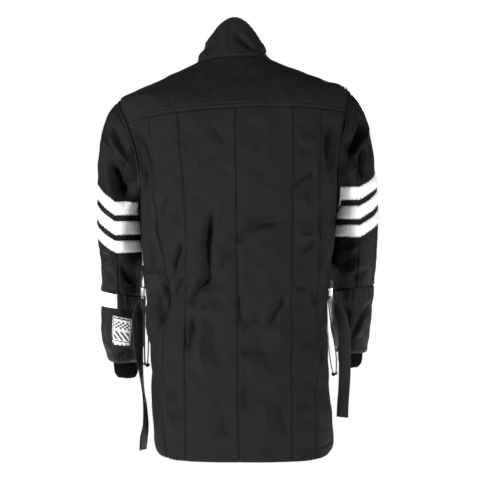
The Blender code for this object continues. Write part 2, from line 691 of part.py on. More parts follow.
def seam_angle(seam, level):
    return body_angle(through(SEAM_TABLE["level"], SEAM_TABLE[seam], level), level)


def arm_edge(level, towards_front):
    """The angle where a row meets the armhole, or the side seam below it."""
    part = np.clip((level - ARM_MIDDLE) / ARM_HALF, -1, 1)
    width = ARM_HALF_ANGLE * np.sqrt(np.clip(1 - part**2, 0, 1))
    return ARM_ANGLE + (width if towards_front else -width)


def panel_between(left_edge, right_edge, levels, steps):
    """A grid of angles and levels between two edges that are given for each level."""
    part = np.linspace(0, 1, steps + 1)
    angle = left_edge[:, None] + (right_edge - left_edge)[:, None] * part
    return angle, np.broadcast_to(levels[:, None], angle.shape)


def back_edges(levels):
    """Name, steps and two edges of every panel under the yoke."""
    seams = {name: seam_angle(name, levels) for name in SEAM_COLUMNS[1:]}
    side = arm_edge(levels, towards_front=False)
    return (
        ("back_centre_left", "centre", seams["centre"], seams["inner_left"]),
        ("back_mid_left", "mid", seams["inner_left"], seams["outer_left"]),
        ("back_side_left", "side", seams["outer_left"], side),
        ("back_centre_right", "centre", seams["inner_right"], seams["centre"]),
        ("back_mid_right", "mid", seams["outer_right"], seams["inner_right"]),
        ("back_side_right", "side", -side, seams["outer_right"]),
    )


def add_body_piece(name, angle, level, material, cloth=CLOTH, short_splits=False):
    points = body_form(angle, level)
    normals = body_normal(angle, level)
    add_panel(name, points, normals, material, cloth, short_splits=short_splits)


def add_back(cloth):
    levels = body_levels()
    for name, kind, left_edge, right_edge in back_edges(levels):
        angle, level = panel_between(left_edge, right_edge, levels, BACK_STEPS[kind])
        add_body_piece(name, angle, level, cloth)


def yoke_rows(bottom):
    """Levels from the yoke's lower edge to the neck, closer together near the neck."""
    part = np.linspace(0, 1, YOKE_STEPS + 1) ** YOKE_CROWDING
    return bottom + (NECK_LEVEL - bottom) * part


def yoke_columns():
    """Angles of the yoke's columns along its lower seam, and turns of those over the armhole."""
    yoke_level = np.array([armhole(float(YOKE_TURN))[1]])
    columns = []
    for name, kind, left_edge, right_edge in back_edges(yoke_level):
        columns.append(np.linspace(left_edge[0], right_edge[0], BACK_STEPS[kind] + 1))
    over = ARM_HIGH_TURNS[:-1] + tuple(180 - turn for turn in ARM_HIGH_TURNS)
    return np.concatenate(columns), np.sort(np.array(over, float))


def add_yoke(cloth):
    along_seam, over = yoke_columns()
    across = np.unique(np.round(along_seam, 9))[1:-1]
    arch_angle, arch_level = armhole(over)
    angle = np.concatenate([-arch_angle, across, arch_angle[::-1]])
    yoke_level = armhole(float(YOKE_TURN))[1]
    bottom = np.concatenate([arch_level, np.full(len(across), yoke_level), arch_level[::-1]])
    level = np.array([yoke_rows(low) for low in bottom]).T
    angle = np.broadcast_to(angle, level.shape)
    add_body_piece("back_yoke", angle, level, cloth, short_splits=True)


def zip_edge(level, half_opening):
    half_width = through(BODY_TABLE["level"], BODY_TABLE["half_width"], level)
    return 180 - np.degrees(np.arcsin((half_opening / half_width) ** (SQUARENESS / 2)))


def front_levels():
    return np.concatenate([body_levels(), yoke_rows(armhole(float(YOKE_TURN))[1])[1:]])


def front_grid(sign):
    """Angles and levels of one front, from the side seam, armhole and yoke to the zip."""
    levels = front_levels()
    corner_angle, corner_level = armhole(float(YOKE_TURN))
    side = np.where(levels < corner_level, arm_edge(levels, towards_front=True), corner_angle)
    middle = zip_edge(levels, ZIP_HALF_OPENING)
    return panel_between(sign * side, sign * middle, levels, FRONT_STEPS)


def add_fronts(cloth):
    for name, sign in (("front_left", 1), ("front_right", -1)):
        add_body_piece(name, *front_grid(sign), cloth)


def neck_angles():
    """Angles of the columns round the neck, those of the yoke and of both fronts."""
    along_seam, over = yoke_columns()
    arch_angle = armhole(over)[0]
    corner = armhole(float(YOKE_TURN))[0]
    middle = zip_edge(np.array([NECK_LEVEL]), ZIP_HALF_OPENING)[0]
    front = np.linspace(corner, middle, FRONT_STEPS + 1)
    found = np.concatenate([along_seam, arch_angle, -arch_angle, front, -front])
    return np.unique(np.round(found, 6))


def add_collar(cloth):
    angles = neck_angles()
    height = np.linspace(0, 1, COLLAR_STEPS + 1)
    angle, height = np.meshgrid(angles, height)
    points = collar_form(angle, height)
    normals = collar_normal(angle, height)
    add_panel("collar", points, normals, cloth, COLLAR_CLOTH)
    angle, height = np.meshgrid(
        180 + COLLAR_TAB_HALF_ANGLE * np.linspace(-1, 1, COLLAR_TAB_STEPS + 1),
        COLLAR_TAB_HEIGHTS,
    )
    points = collar_form(angle, height)
    normals = collar_normal(angle, height)
    inner = points + normals * COLLAR_TAB_GAP
    add_wall("collar_tab", inner + normals * CLOTH, inner, cloth)


def sleeve_turns(first, last):
    """Turns of the columns between two turns, those that the armhole's pieces also have."""
    low = list(ARM_LOW_TURNS)
    high = [turn for turn in ARM_HIGH_TURNS if turn > YOKE_TURN]
    half = low + high
    turns = half + [180 - turn for turn in half] + [turn + 360 for turn in low]
    turns = sorted(set(turns))
    return np.array([turn for turn in turns if first <= turn <= last], float)


def stripe_sections(side, turns):
    """The sections where a sleeve's six stripe edges lie at each turn."""
    knots = np.linspace(0, ELBOW_SECTION, STRIPE_SEARCH_STEPS)
    outer = np.clip(np.sin(np.radians(turns)), 0, 1)
    climb = 2 / np.pi * np.arcsin(outer)
    rows = []
    for index in range(len(STRIPE_EDGES)):
        edge = STRIPE_TABLE["edge_" + side][index]
        target = edge + STRIPE_TABLE["rise_" + side][index] * climb
        found = []
        for turn, height in zip(turns, target):
            heights = sleeve_form(side, np.full_like(knots, turn), knots)[:, 2]
            top = heights[0] - STRIPE_CLEAR_OF_ARMHOLE * (1 + index)
            found.append(np.interp(-min(height, top), -heights, knots))
        rows.append(found)
    return np.array(rows)


def sleeve_sections(side, turns):
    """A grid row for the armhole, the head, each stripe edge and the lower part of the sleeve."""
    stripes = stripe_sections(side, turns)
    head = [stripes[0] * part for part in np.linspace(0, 1, HEAD_STEPS + 1)[:-1]]
    lower = [
        stripes[-1] + (ELBOW_SECTION - stripes[-1]) * part
        for part in np.linspace(0, 1, LOWER_STEPS + 1)[1:]
    ]
    return np.array(head + list(stripes) + lower)


def sleeve_wall_normals(side, turn, section):
    normals = sleeve_normal(side, turn, section)
    seam = section < ON_SEAM
    normals[seam] = armhole_normal(side, turn[seam])
    return normals


def add_upper_sleeve(side, cloth, white):
    spans = (
        ("sleeve_outer_" + side, SLEEVE_FRONT_TURN, SLEEVE_BACK_TURN),
        ("sleeve_under_" + side, SLEEVE_BACK_TURN, SLEEVE_FRONT_TURN + 360),
    )
    for name, first, last in spans:
        turns = sleeve_turns(first, last)
        section = sleeve_sections(side, turns)
        turn = np.broadcast_to(turns, section.shape)
        points = sleeve_form(side, turn, section)
        add_panel(name, points, sleeve_wall_normals(side, turn, section), cloth)
    turns = sleeve_turns(SLEEVE_FRONT_TURN, SLEEVE_FRONT_TURN + 360)
    stripes = stripe_sections(side, turns)
    for index in range(3):
        section = stripes[2 * index : 2 * index + 2]
        turn = np.broadcast_to(turns, section.shape)
        points = sleeve_form(side, turn, section)
        normals = sleeve_normal(side, turn, section)
        points = points + normals * fold_height(points)[..., None]
        inner = points + normals * SKIN_GAP
        outer = inner + normals * APPLIQUE
        add_wall(f"sleeve_stripe_{side}_{index + 1}", outer, inner, white, ring=True)


def gather(turn, section):
    """How far the gathers under the elbow seam and above the cuff lift the cloth."""
    elbow = np.clip(1 - (section - ELBOW_SECTION) / GATHER_ELBOW_REACH, 0, 1)
    wrist = np.clip(1 - (CUFF_SECTION - section) / GATHER_WRIST_REACH, 0, 1)
    under = GATHER_LEAST + (1 - GATHER_LEAST) * (0.5 - 0.5 * np.sin(np.radians(turn)))
    strength = GATHER_DEPTH * (elbow * under + GATHER_AT_WRIST * wrist)
    return strength * np.cos(np.radians(2 * GATHERS * turn))


def forearm_grid(side, turns, sections):
    turn, section = np.meshgrid(turns, sections)
    points = sleeve_form(side, turn, section)
    normals = sleeve_normal(side, turn, section)
    return points + normals * gather(turn, section)[..., None], normals


def forearm_sections():
    part = np.linspace(0, 1, FOREARM_STEPS + 1)
    return ELBOW_SECTION + (CUFF_SECTION - ELBOW_SECTION) * part


def add_forearm(side, cloth, knit):
    columns = 4 * GATHERS
    turns = SLEEVE_FRONT_TURN + np.arange(columns + 1) * 360 / columns
    points, normals = forearm_grid(side, turns, forearm_sections())
    add_panel("forearm_" + side, points, normals, cloth, ring=True)
    columns = 2 * RIBS
    turns = np.arange(columns + 1) * 360 / columns
    turn, section = np.meshgrid(turns, np.linspace(CUFF_SECTION, LAST_SECTION, CUFF_STEPS + 1))
    points = sleeve_form(side, turn, section)
    normals = sleeve_normal(side, turn, section)
    ribs = RIB_HEIGHT * (0.5 + 0.5 * np.cos(np.radians(RIBS * turn)))
    add_panel("cuff_" + side, points, normals, knit, CUFF_CLOTH, ring=True, lift=ribs)


def add_forearm_trim(white):
    """The white band under the left elbow seam and the bare label place below it."""
    columns = 4 * GATHERS
    turns = SLEEVE_FRONT_TURN + np.arange(columns + 1) * 360 / columns
    turns = turns[turns < BAND_END_TURN]
    points, normals = forearm_grid("left", turns, forearm_sections()[:2])
    points = points + normals * fold_height(points)[..., None]
    down = (points[1] - points[0]) * BAND_MARGIN
    points[0] += down
    points[1] -= down
    inner = points + normals * SKIN_GAP
    add_wall("forearm_band_left", inner + normals * APPLIQUE, inner, white)
    across = np.linspace(0, 1, PATCH_COLUMNS + 1)
    across, along = np.meshgrid(across, np.linspace(0, 1, PATCH_ROWS + 1))
    turn = PATCH_TURNS[0] + (PATCH_TURNS[1] - PATCH_TURNS[0]) * across
    section = PATCH_SECTIONS[0] + (PATCH_SECTIONS[1] - PATCH_SECTIONS[0]) * along
    section = section + PATCH_SLANT * (0.5 - across)
    turn = turn - PATCH_TWIST * (along - 0.5)
    points = sleeve_form("left", turn, section)
    normals = sleeve_normal("left", turn, section)
    points = points + normals * (fold_height(points) + gather(turn, section))[..., None]
    inner = points + normals * PATCH_GAP
    add_wall("sleeve_patch", inner + normals * APPLIQUE, inner, white)


def front_line(x, level):
    """Points and normals of the front at a distance x from its centre line."""
    edge = zip_edge(level, np.abs(x))
    angle = np.where(x >= 0, edge, -edge)
    return body_form(angle, level), surface_normal(body_form, angle, level)


def add_zip(tape_cloth, metal):
    levels = front_levels()
    near = CHAIN_WIDTH / 2 + SEAM_GAP - ZIP_HALF_OPENING
    for side, sign in (("left", 1), ("right", -1)):
        angle, level = front_grid(sign)
        angle, level = angle[:, -2:], level[:, -2:]
        points, normals = body_form(angle, level), body_normal(angle, level)
        points = points + normals * fold_height(points)[..., None]
        run = points[:, 0] - points[:, 1]
        reach = np.array([near, near + TAPE_WIDTH]) / np.linalg.norm(run, axis=1)[:, None]
        tape = points[:, 1:] + run[:, None, :] * reach[..., None]
        outer = tape - normals[:, 1:] * (CLOTH + SKIN_GAP)
        add_wall("zip_tape_" + side, outer, outer - normals[:, 1:] * TAPE_THICK, tape_cloth)
    x, level = np.meshgrid(np.array([-0.5, 0.5]) * CHAIN_WIDTH, levels)
    points, normals = front_line(x, level)
    normals = unit(normals * np.array([0.0, 1.0, 1.0]))
    outer = points - normals * SKIN_GAP
    add_wall("zip_chain", outer, outer - normals * CHAIN_THICK, metal)


def box_at(bm, size, centre):
    """A box added to a mesh; returns its vertices."""
    made = bmesh.ops.create_cube(bm, size=1.0)["verts"]
    bmesh.ops.scale(bm, vec=size, verts=made)
    bmesh.ops.translate(bm, vec=centre, verts=made)
    return made


def box_object(name, size, centre, material):
    bm = bmesh.new()
    box_at(bm, size, centre)
    return finish_mesh(name, bm, material, smooth=False)


def join_boxes(name, boxes, material):
    """Boxes joined into one body by Boolean unions."""
    first, *others = boxes
    base = box_object(name, *first, material)
    for index, (size, centre) in enumerate(others):
        other = box_object(f"{name}_add_{index}", size, centre, material)
        PARTS.objects.unlink(other)
        CUTTERS.objects.link(other)
        other.hide_render = True
        other.display_type = "WIRE"
        union = base.modifiers.new(f"join_{index}", "BOOLEAN")
        union.operation = "UNION"
        union.solver = "EXACT"
        union.object = other
        other.parent = base
    return base


def slider_place():
    """Where the slider sits on the front's centre line, and how far its face leans back."""
    level = np.array([SLIDER_LEVEL])
    point, normal = front_line(np.array([ON_SEAM]), level)
    lean = math.atan2(normal[0][2], -normal[0][1])
    return point[0], lean


def add_slider(metal):
    point, lean = slider_place()
    width, thick, length = SLIDER_SIZE
    bar_width, bar_thick, bar_length = BRIDGE_BAR
    face = -thick
    bar_y = face - BRIDGE_CLEARANCE - bar_thick / 2
    leg_y = face - BRIDGE_CLEARANCE / 2 - bar_thick / 4
    leg_size = (bar_width, BRIDGE_CLEARANCE + bar_thick / 2 + LEG_OVERLAP, BRIDGE_LEG)
    leg_z = bar_length / 2 - BRIDGE_LEG / 2
    boxes = (
        ((width, thick, length), (0, -thick / 2, 0)),
        (BRIDGE_BAR, (0, bar_y, 0)),
        (leg_size, (0, leg_y, leg_z)),
        (leg_size, (0, leg_y, -leg_z)),
    )
    slider = join_boxes("zip_slider", boxes, metal)
    slider.location = point
    slider.rotation_euler = (-lean, 0, 0)
    eye_width, eye_length = PULL_EYE
    plate_width, plate_length = PULL_PLATE
    pin = 2 * PULL_PIN_RADIUS
    outside = eye_width + 2 * PULL_ARM
    arm_x = eye_width / 2 + PULL_ARM / 2
    arm_size = (PULL_ARM, PULL_THICK, eye_length + pin)
    arm_z = -(eye_length + pin) / 2 + PULL_PIN_RADIUS
    plate_z = -eye_length - plate_length / 2
    boxes = (
        ((outside, pin, pin), (0, 0, 0)),
        (arm_size, (arm_x, 0, arm_z)),
        (arm_size, (-arm_x, 0, arm_z)),
        ((plate_width, PULL_THICK, plate_length), (0, 0, plate_z)),
    )
    pull = join_boxes("zip_pull", boxes, metal)
    pull.parent = slider
    pull.location = (0, face - BRIDGE_CLEARANCE / 2, 0)


def side_of_body(side, angle, level):
    """Points and normals of the body on one side, as on the left."""
    sign = 1 if side == "left" else -1
    angle = sign * np.asarray(angle, float)
    level = np.asarray(level, float)
    points = body_form(angle, level)
    normals = surface_normal(body_form, angle, level)
    points = points + normals * fold_height(points)[..., None]
    return mirror(side, points), mirror(side, normals)


def add_webbing(name, side, route, width_way, material):
    """A flat strip of webbing along a route."""
    along = unit(np.gradient(route, axis=0))
    width_way = unit(width_way - along * np.sum(width_way * along, axis=1, keepdims=True))
    face = unit(np.cross(width_way, along))
    edges = np.array([-0.5, 0.5]) * WEBBING_WIDTH
    middle = route[:, None, :] + width_way[:, None, :] * edges[None, :, None]
    half = face[:, None, :] * WEBBING_THICK / 2
    outer, inner = mirror(side, middle + half), mirror(side, middle - half)
    return add_wall(name, outer, inner, material)


def finer(rows, steps):
    """More points on the smooth curve through the rows."""
    knots = np.arange(len(rows), dtype=float)
    at = np.linspace(0, len(rows) - 1, (len(rows) - 1) * steps + 1)
    return np.stack([through(knots, column, at) for column in rows.T], axis=1)


def add_strap(side, webbing):
    level = np.array(ANCHOR_LEVELS)
    points, normals = side_of_body(side, np.full(len(level), ANCHOR_ANGLE), level)
    anchor = points + normals * (SKIN_GAP + WEBBING_THICK / 2)
    up = np.array([0.0, 0.0, 1.0])
    anchor_way = unit(np.cross(up, normals))
    rows = finer(np.array(STRAPS[side], float), STRAP_STEPS)
    turn = np.radians(rows[:, 3])
    hanging_way = np.stack([np.cos(turn), np.sin(turn), np.zeros(len(turn))], axis=1)
    route = np.concatenate([anchor, rows[:, :3]])
    add_webbing("strap_" + side, side, route, np.concatenate([anchor_way, hanging_way]), webbing)


def add_ring_tab(side, webbing):
    stand_off, level = np.array(TAB_ROUTE).T
    points, normals = side_of_body(side, np.full(len(level), TAB_ANGLE), level)
    normals = unit(normals * np.array([1.0, 1.0, 0.0]))
    normals = np.broadcast_to(unit(normals.mean(axis=0)), normals.shape)
    up = np.array([0.0, 0.0, 1.0])
    rows = finer(points + normals * stand_off[:, None], TAB_STEPS)
    way = np.broadcast_to(unit(np.cross(up, normals[0])), rows.shape)
    add_webbing("ring_tab_" + side, side, rows, way, webbing)


def add_rings(side, metal):
    level = np.array([RING_TOP, RING_FOOT])
    points, normals = side_of_body(side, np.full(2, TAB_ANGLE), level)
    normal = unit(normals[0] * np.array([1.0, 1.0, 0.0]))
    across = np.cross([0.0, 0.0, 1.0], normal)
    half = RING_INSIDE / 2 + RING_WIRE - RING_CORNER
    high = (RING_TOP - RING_FOOT) / 2 - RING_CORNER
    middle_z = (RING_TOP + RING_FOOT) / 2
    for index, stand_off in enumerate(RING_STAND_OFFS):
        curve = bpy.data.curves.new(f"ring_{side}_{index + 1}", "CURVE")
        curve.dimensions = "3D"
        curve.bevel_depth = RING_WIRE
        curve.bevel_resolution = 2
        outline = []
        for corner, (out, up) in enumerate(((1, 1), (-1, 1), (-1, -1), (1, -1))):
            for step in range(3):
                turn = math.radians(90 * corner + 45 * step)
                wide = out * half + RING_CORNER * math.cos(turn)
                tall = up * high + RING_CORNER * math.sin(turn)
                outline.append((wide, tall))
        spline = curve.splines.new("POLY")
        spline.points.add(len(outline) - 1)
        spline.use_cyclic_u = True
        foot = points[0] + normal * stand_off
        for point, (wide, tall) in zip(spline.points, outline):
            place = foot + across * wide
            place[2] = middle_z + tall
            point.co = (*mirror(side, place), 1.0)
        curve.materials.append(metal)
        ring = bpy.data.objects.new(curve.name, curve)
        PARTS.objects.link(ring)


for old in list(bpy.data.objects):
    bpy.data.objects.remove(old, do_unlink=True)
PARTS = bpy.data.collections.new(OBJECT_NAME)
bpy.context.scene.collection.children.link(PARTS)
CUTTERS = bpy.data.collections.new(OBJECT_NAME + "_cutters")
bpy.context.scene.collection.children.link(CUTTERS)

TWILL = new_material("black_twill", (0.020, 0.020, 0.019), 0.72)
SATIN = new_material("black_sleeve_cloth", (0.022, 0.022, 0.022), 0.60)
WHITE = new_material("white_cloth", (0.86, 0.86, 0.87), 0.75)
KNIT = new_material("black_rib_knit", (0.014, 0.014, 0.016), 0.85)
WEBBING = new_material("black_webbing", (0.030, 0.030, 0.030), 0.60)
TAPE = new_material("black_zip_tape", (0.015, 0.015, 0.015), 0.80)
CHROME = new_material("bright_metal", (0.80, 0.80, 0.80), 0.20, metallic=1.0)

add_back(TWILL)
add_yoke(TWILL)
add_fronts(TWILL)
add_collar(TWILL)
for side in ("left", "right"):
    add_upper_sleeve(side, SATIN, WHITE)
    add_forearm(side, SATIN, KNIT)
    add_strap(side, WEBBING)
    add_ring_tab(side, WEBBING)
    add_rings(side, CHROME)
add_forearm_trim(WHITE)
add_zip(TAPE, CHROME)
add_slider(CHROME)
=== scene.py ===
"""The looks of a black racing jacket with white sleeve stripes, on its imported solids.

Metres, +Z up. The front faces -Y and the wearer's left is +X. An angle of 0 degrees on the body is
the centre back, 90 the wearer's left side, 180 the centre front. Round a sleeve, 0 degrees is its
front, 90 its outer side, 180 its back and 270 the side next to the body.
"""

import json
import math

import bmesh
import bpy
import numpy as np
from mathutils import Matrix, Vector

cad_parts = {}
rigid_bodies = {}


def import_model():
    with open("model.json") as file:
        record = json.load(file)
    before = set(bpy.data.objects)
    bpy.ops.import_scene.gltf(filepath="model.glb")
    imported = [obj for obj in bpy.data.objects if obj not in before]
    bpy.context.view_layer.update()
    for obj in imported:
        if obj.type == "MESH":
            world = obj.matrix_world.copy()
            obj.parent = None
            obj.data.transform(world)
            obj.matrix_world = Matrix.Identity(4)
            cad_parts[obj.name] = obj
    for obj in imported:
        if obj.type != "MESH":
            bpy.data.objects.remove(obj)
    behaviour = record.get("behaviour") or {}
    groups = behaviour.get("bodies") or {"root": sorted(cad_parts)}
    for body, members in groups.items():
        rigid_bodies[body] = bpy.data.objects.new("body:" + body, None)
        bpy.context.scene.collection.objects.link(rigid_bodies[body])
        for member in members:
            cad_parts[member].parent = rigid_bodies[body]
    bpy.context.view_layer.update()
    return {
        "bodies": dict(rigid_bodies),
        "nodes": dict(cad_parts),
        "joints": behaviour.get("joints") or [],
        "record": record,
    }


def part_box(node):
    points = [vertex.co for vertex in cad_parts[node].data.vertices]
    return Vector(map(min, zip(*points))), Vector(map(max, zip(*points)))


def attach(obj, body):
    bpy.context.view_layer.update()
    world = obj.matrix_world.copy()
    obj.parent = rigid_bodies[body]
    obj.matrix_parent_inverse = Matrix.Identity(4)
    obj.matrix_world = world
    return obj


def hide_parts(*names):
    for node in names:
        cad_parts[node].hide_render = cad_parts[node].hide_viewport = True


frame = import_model()

# Cloth thicknesses, mesh steps and the relief of a sewn edge
CLOTH = 0.0013
COLLAR_CLOTH = 0.0023
CUFF_CLOTH = 0.0018
APPLIQUE = 0.0008
SKIN_GAP = 0.0006
SHARP_ANGLE = 55
MESH_STEP = 0.0033
FRONT_STEP = 0.0045
FOREARM_STEP = MESH_STEP * 0.8
SHOULDER_ROWS = 30
COLLAR_TAB_GRID = (25, 16)
PATCH_GRID = (33, 41)
SEAM_ROLL = 0.0019
SEAM_ROLL_WIDTH = 0.0018
STITCH_GROOVE = 0.0012
STITCH_GROOVE_WIDTH = 0.0013
STITCH_LENGTH = 0.0030
STITCH_PITCH = 0.0036
SHORTEST_STITCH = 0.0010
THREAD = 0.00042
# Distances from a border at which a grid has its own rows
BORDER_MARKS = (0.0, 0.0005, 0.0011, 0.0018, 0.0026, 0.0036, 0.0048, 0.0060, 0.0070, 0.0080, 0.0090)
FINE_BORDER_MARKS = (0.0, 0.0006, 0.0014, 0.0024)
HEM_MARKS = (0.0, 0.0006, 0.0014, 0.0024, 0.0050, 0.0090, 0.0130, 0.0160, 0.0176, 0.0188, 0.0200, 0.0212)
# Distances of the stitching from a piece's border
HEM_STITCH = 0.0194
EDGE_STITCH = 0.0018
FELL_STITCH = 0.0080
COLLAR_STITCH = 0.0060
COLLAR_TAB_STITCH = 0.0030
STRIPE_STITCH = 0.0014
PATCH_STITCH = 0.0016
FELL_LIFT = 0.0003
FELL_EDGE = (-0.0006, 0.0012)
PUCKER = 0.0010
PUCKER_PITCH = 0.0100
PUCKER_REACH = 0.0090
APPLIQUE_ROLL = 0.0003
STRIPE_ROLL = 0.00035

# Folds and the swells between them. The calms are how far from a seam or fitting they begin.
FOLD_GAIN = 2.6
FOLD_SHARPNESS = 1.3
FOLD_FULL_LENGTH = 0.080
FOLD_TAPER = 0.35
FOLD_STEPS = 6
ARMHOLE_CALM = 0.16
SLEEVE_CALM = 0.55
COLLAR_CALM = 0.15
NECK_CALM = 0.020
ZIP_CALM = (0.006, 0.024)
ADJUSTER_CALM = (0.018, 0.040)
ADJUSTER_LEVEL = -0.435
DRAPE = 0.0022
# Waves that bend the swells: size, radians per metre along X, Y and Z, and start
DRIFT_WAVES = ((1.9, (19, 0, 37), 0.4), (1.1, (0, 61, -29), 0.0))
SLIDE_WAVES = ((1.7, (43, -23, 0), 1.9), (1.2, (31, 0, 53), 2.2))
# Swells: share, how much the two waves bend it, and radians per metre of its two factors
SWELLS = (
    (0.50, 1.0, (67, 0, 0), (0, -29, 41)),
    (0.35, 0.8, (0, 0, 79), (101, -37, 0)),
    (0.12, 0.9, (151, 131, 0), (0, 0, 163)),
)

# How near a seam a wall's normals turn to the direction that it shares with its neighbour
ARMHOLE_BLEND = 0.12
NECK_BLEND = 0.008
COLLAR_BLEND = 0.15
SLEEVE_BLEND_SECTIONS = 0.6

# Body sections, a row for each height at the side seam and along the shoulder. back and front
# are the depths at the centre lines, back_z and front_z their heights, and dip bows the hem.
BODY_COLUMNS = "level centre half_width back front back_z front_z dip".split()
BODY = (
    (-0.738, -0.0105, 0.1736, 0.1230, 0.1150, -0.7640, -0.7500, -0.0090),
    (-0.700, -0.0080, 0.1742, 0.1225, 0.1150, -0.7160, -0.7080, -0.0030),
    (-0.640, -0.0040, 0.1726, 0.1200, 0.1140, -0.6430, -0.6410, 0.0),
    (-0.580, -0.0015, 0.1722, 0.1180, 0.1130, -0.5800, -0.5800, 0.0),
    (-0.520, 0.0010, 0.1736, 0.1165, 0.1130, -0.5200, -0.5200, 0.0),
    (-0.440, 0.0030, 0.1785, 0.1185, 0.1150, -0.4400, -0.4400, 0.0),
    (-0.360, 0.0020, 0.1860, 0.1230, 0.1190, -0.3600, -0.3610, 0.0),
    (-0.295, 0.0000, 0.1915, 0.1270, 0.1220, -0.2940, -0.2980, 0.0),
    (-0.250, -0.0010, 0.1985, 0.1285, 0.1230, -0.2470, -0.2560, 0.0),
    (-0.200, -0.0010, 0.2110, 0.1275, 0.1220, -0.1920, -0.2140, 0.0),
    (-0.160, 0.0010, 0.2200, 0.1240, 0.1190, -0.1480, -0.1840, 0.0),
    (-0.121, 0.0040, 0.2255, 0.1180, 0.1140, -0.1036, -0.1540, 0.0),
    (-0.090, 0.0070, 0.2265, 0.1115, 0.1080, -0.0860, -0.1340, 0.0),
    (-0.068, 0.0088, 0.2200, 0.1055, 0.1010, -0.0740, -0.1190, 0.0),
    (-0.048, 0.0095, 0.1745, 0.0965, 0.0920, -0.0570, -0.1070, 0.0),
    (-0.026, 0.0100, 0.1220, 0.0815, 0.0800, -0.0330, -0.0930, 0.0),
    (-0.006, 0.0090, 0.0740, 0.0600, 0.0680, 0.0000, -0.0780, 0.0),
)
SQUARENESS = 2.4
SHOULDER_TILT = -0.0447
TILT_FROM = -0.35
TILT_FULL = -0.16
EVEN_BEND_BELOW = -0.30
ROUND_BEND_ABOVE = -0.11
NECK_LEVEL = BODY[-1][0]
HEM_LEVEL = BODY[0][0]
# Steps either way from which a normal is worked out: degrees, then metres or sections or heights
NORMAL_TURN = 0.25
NORMAL_LEVEL = 0.0004
NORMAL_SECTION = 0.004
COLLAR_NORMAL_STEPS = (0.5, 0.01)
# Samples along a line from which its marks are placed
LINE_SAMPLES = 161

# The armhole is an ellipse in angle and level.
ARM_ANGLE = 90.0
ARM_HALF_ANGLE = 29.0
ARM_TOP = -0.068
ARM_BOTTOM = -0.280
ARM_MIDDLE = (ARM_TOP + ARM_BOTTOM) / 2
ARM_HALF = (ARM_TOP - ARM_BOTTOM) / 2
YOKE_TURN = 30
YOKE_ARCH_STEP = 2.5
# Turns of the armhole's lower corner that have rows of their own, and the least gap to the others
CORNER_TURNS = (-90.0, -44.0, 4.0)
CORNER_CLEARANCE = 0.0009

# Back seams, distance from the middle plane at each level, left positive.
SEAM_COLUMNS = "level centre inner_left inner_right outer_left outer_right".split()
BACK_SEAMS = (
    (-0.738, -0.0025, 0.0980, -0.1010, 0.1350, -0.1450),
    (-0.680, -0.0010, 0.0990, -0.1010, 0.1440, -0.1452),
    (-0.600, 0.0000, 0.1000, -0.1000, 0.1440, -0.1470),
    (-0.530, 0.0000, 0.0995, -0.1000, 0.1412, -0.1500),
    (-0.470, 0.0005, 0.0985, -0.1000, 0.1340, -0.1512),
    (-0.410, 0.0010, 0.0980, -0.1005, 0.1365, -0.1530),
    (-0.340, 0.0020, 0.0971, -0.1015, 0.1480, -0.1580),
    (-0.240, 0.0030, 0.1028, -0.1025, 0.1620, -0.1515),
    (-0.180, 0.0036, 0.1080, -0.1027, 0.1655, -0.1560),
    (-0.121, 0.0036, 0.1131, -0.1027, 0.1685, -0.1545),
)
ZIP_HALF_OPENING = 0.0045

# Collar: heights of the top edge at the back, side and front, and its size at the top.
COLLAR_TOP_BACK = 0.0760
COLLAR_TOP_SIDE = 0.0320
COLLAR_TOP_FRONT = -0.0160
COLLAR_TOP_HALF_WIDTH = 0.0565
COLLAR_TOP_DEPTH = 0.0470
COLLAR_TOP_CENTRE = 0.0080
COLLAR_PEAK = 2.4
COLLAR_LEAN = 1.8
COLLAR_TAB_HALF_ANGLE = 18.0
COLLAR_TAB_HEIGHTS = (0.30, 0.82)
COLLAR_TAB_GAP = 0.0012
COLLAR_BULGE = 0.0085
COLLAR_BULGE_ANGLE = 80.0
COLLAR_BULGE_WIDTH = 34.0
COLLAR_BULGE_HEIGHT = 0.36
COLLAR_BULGE_RISE = 0.22

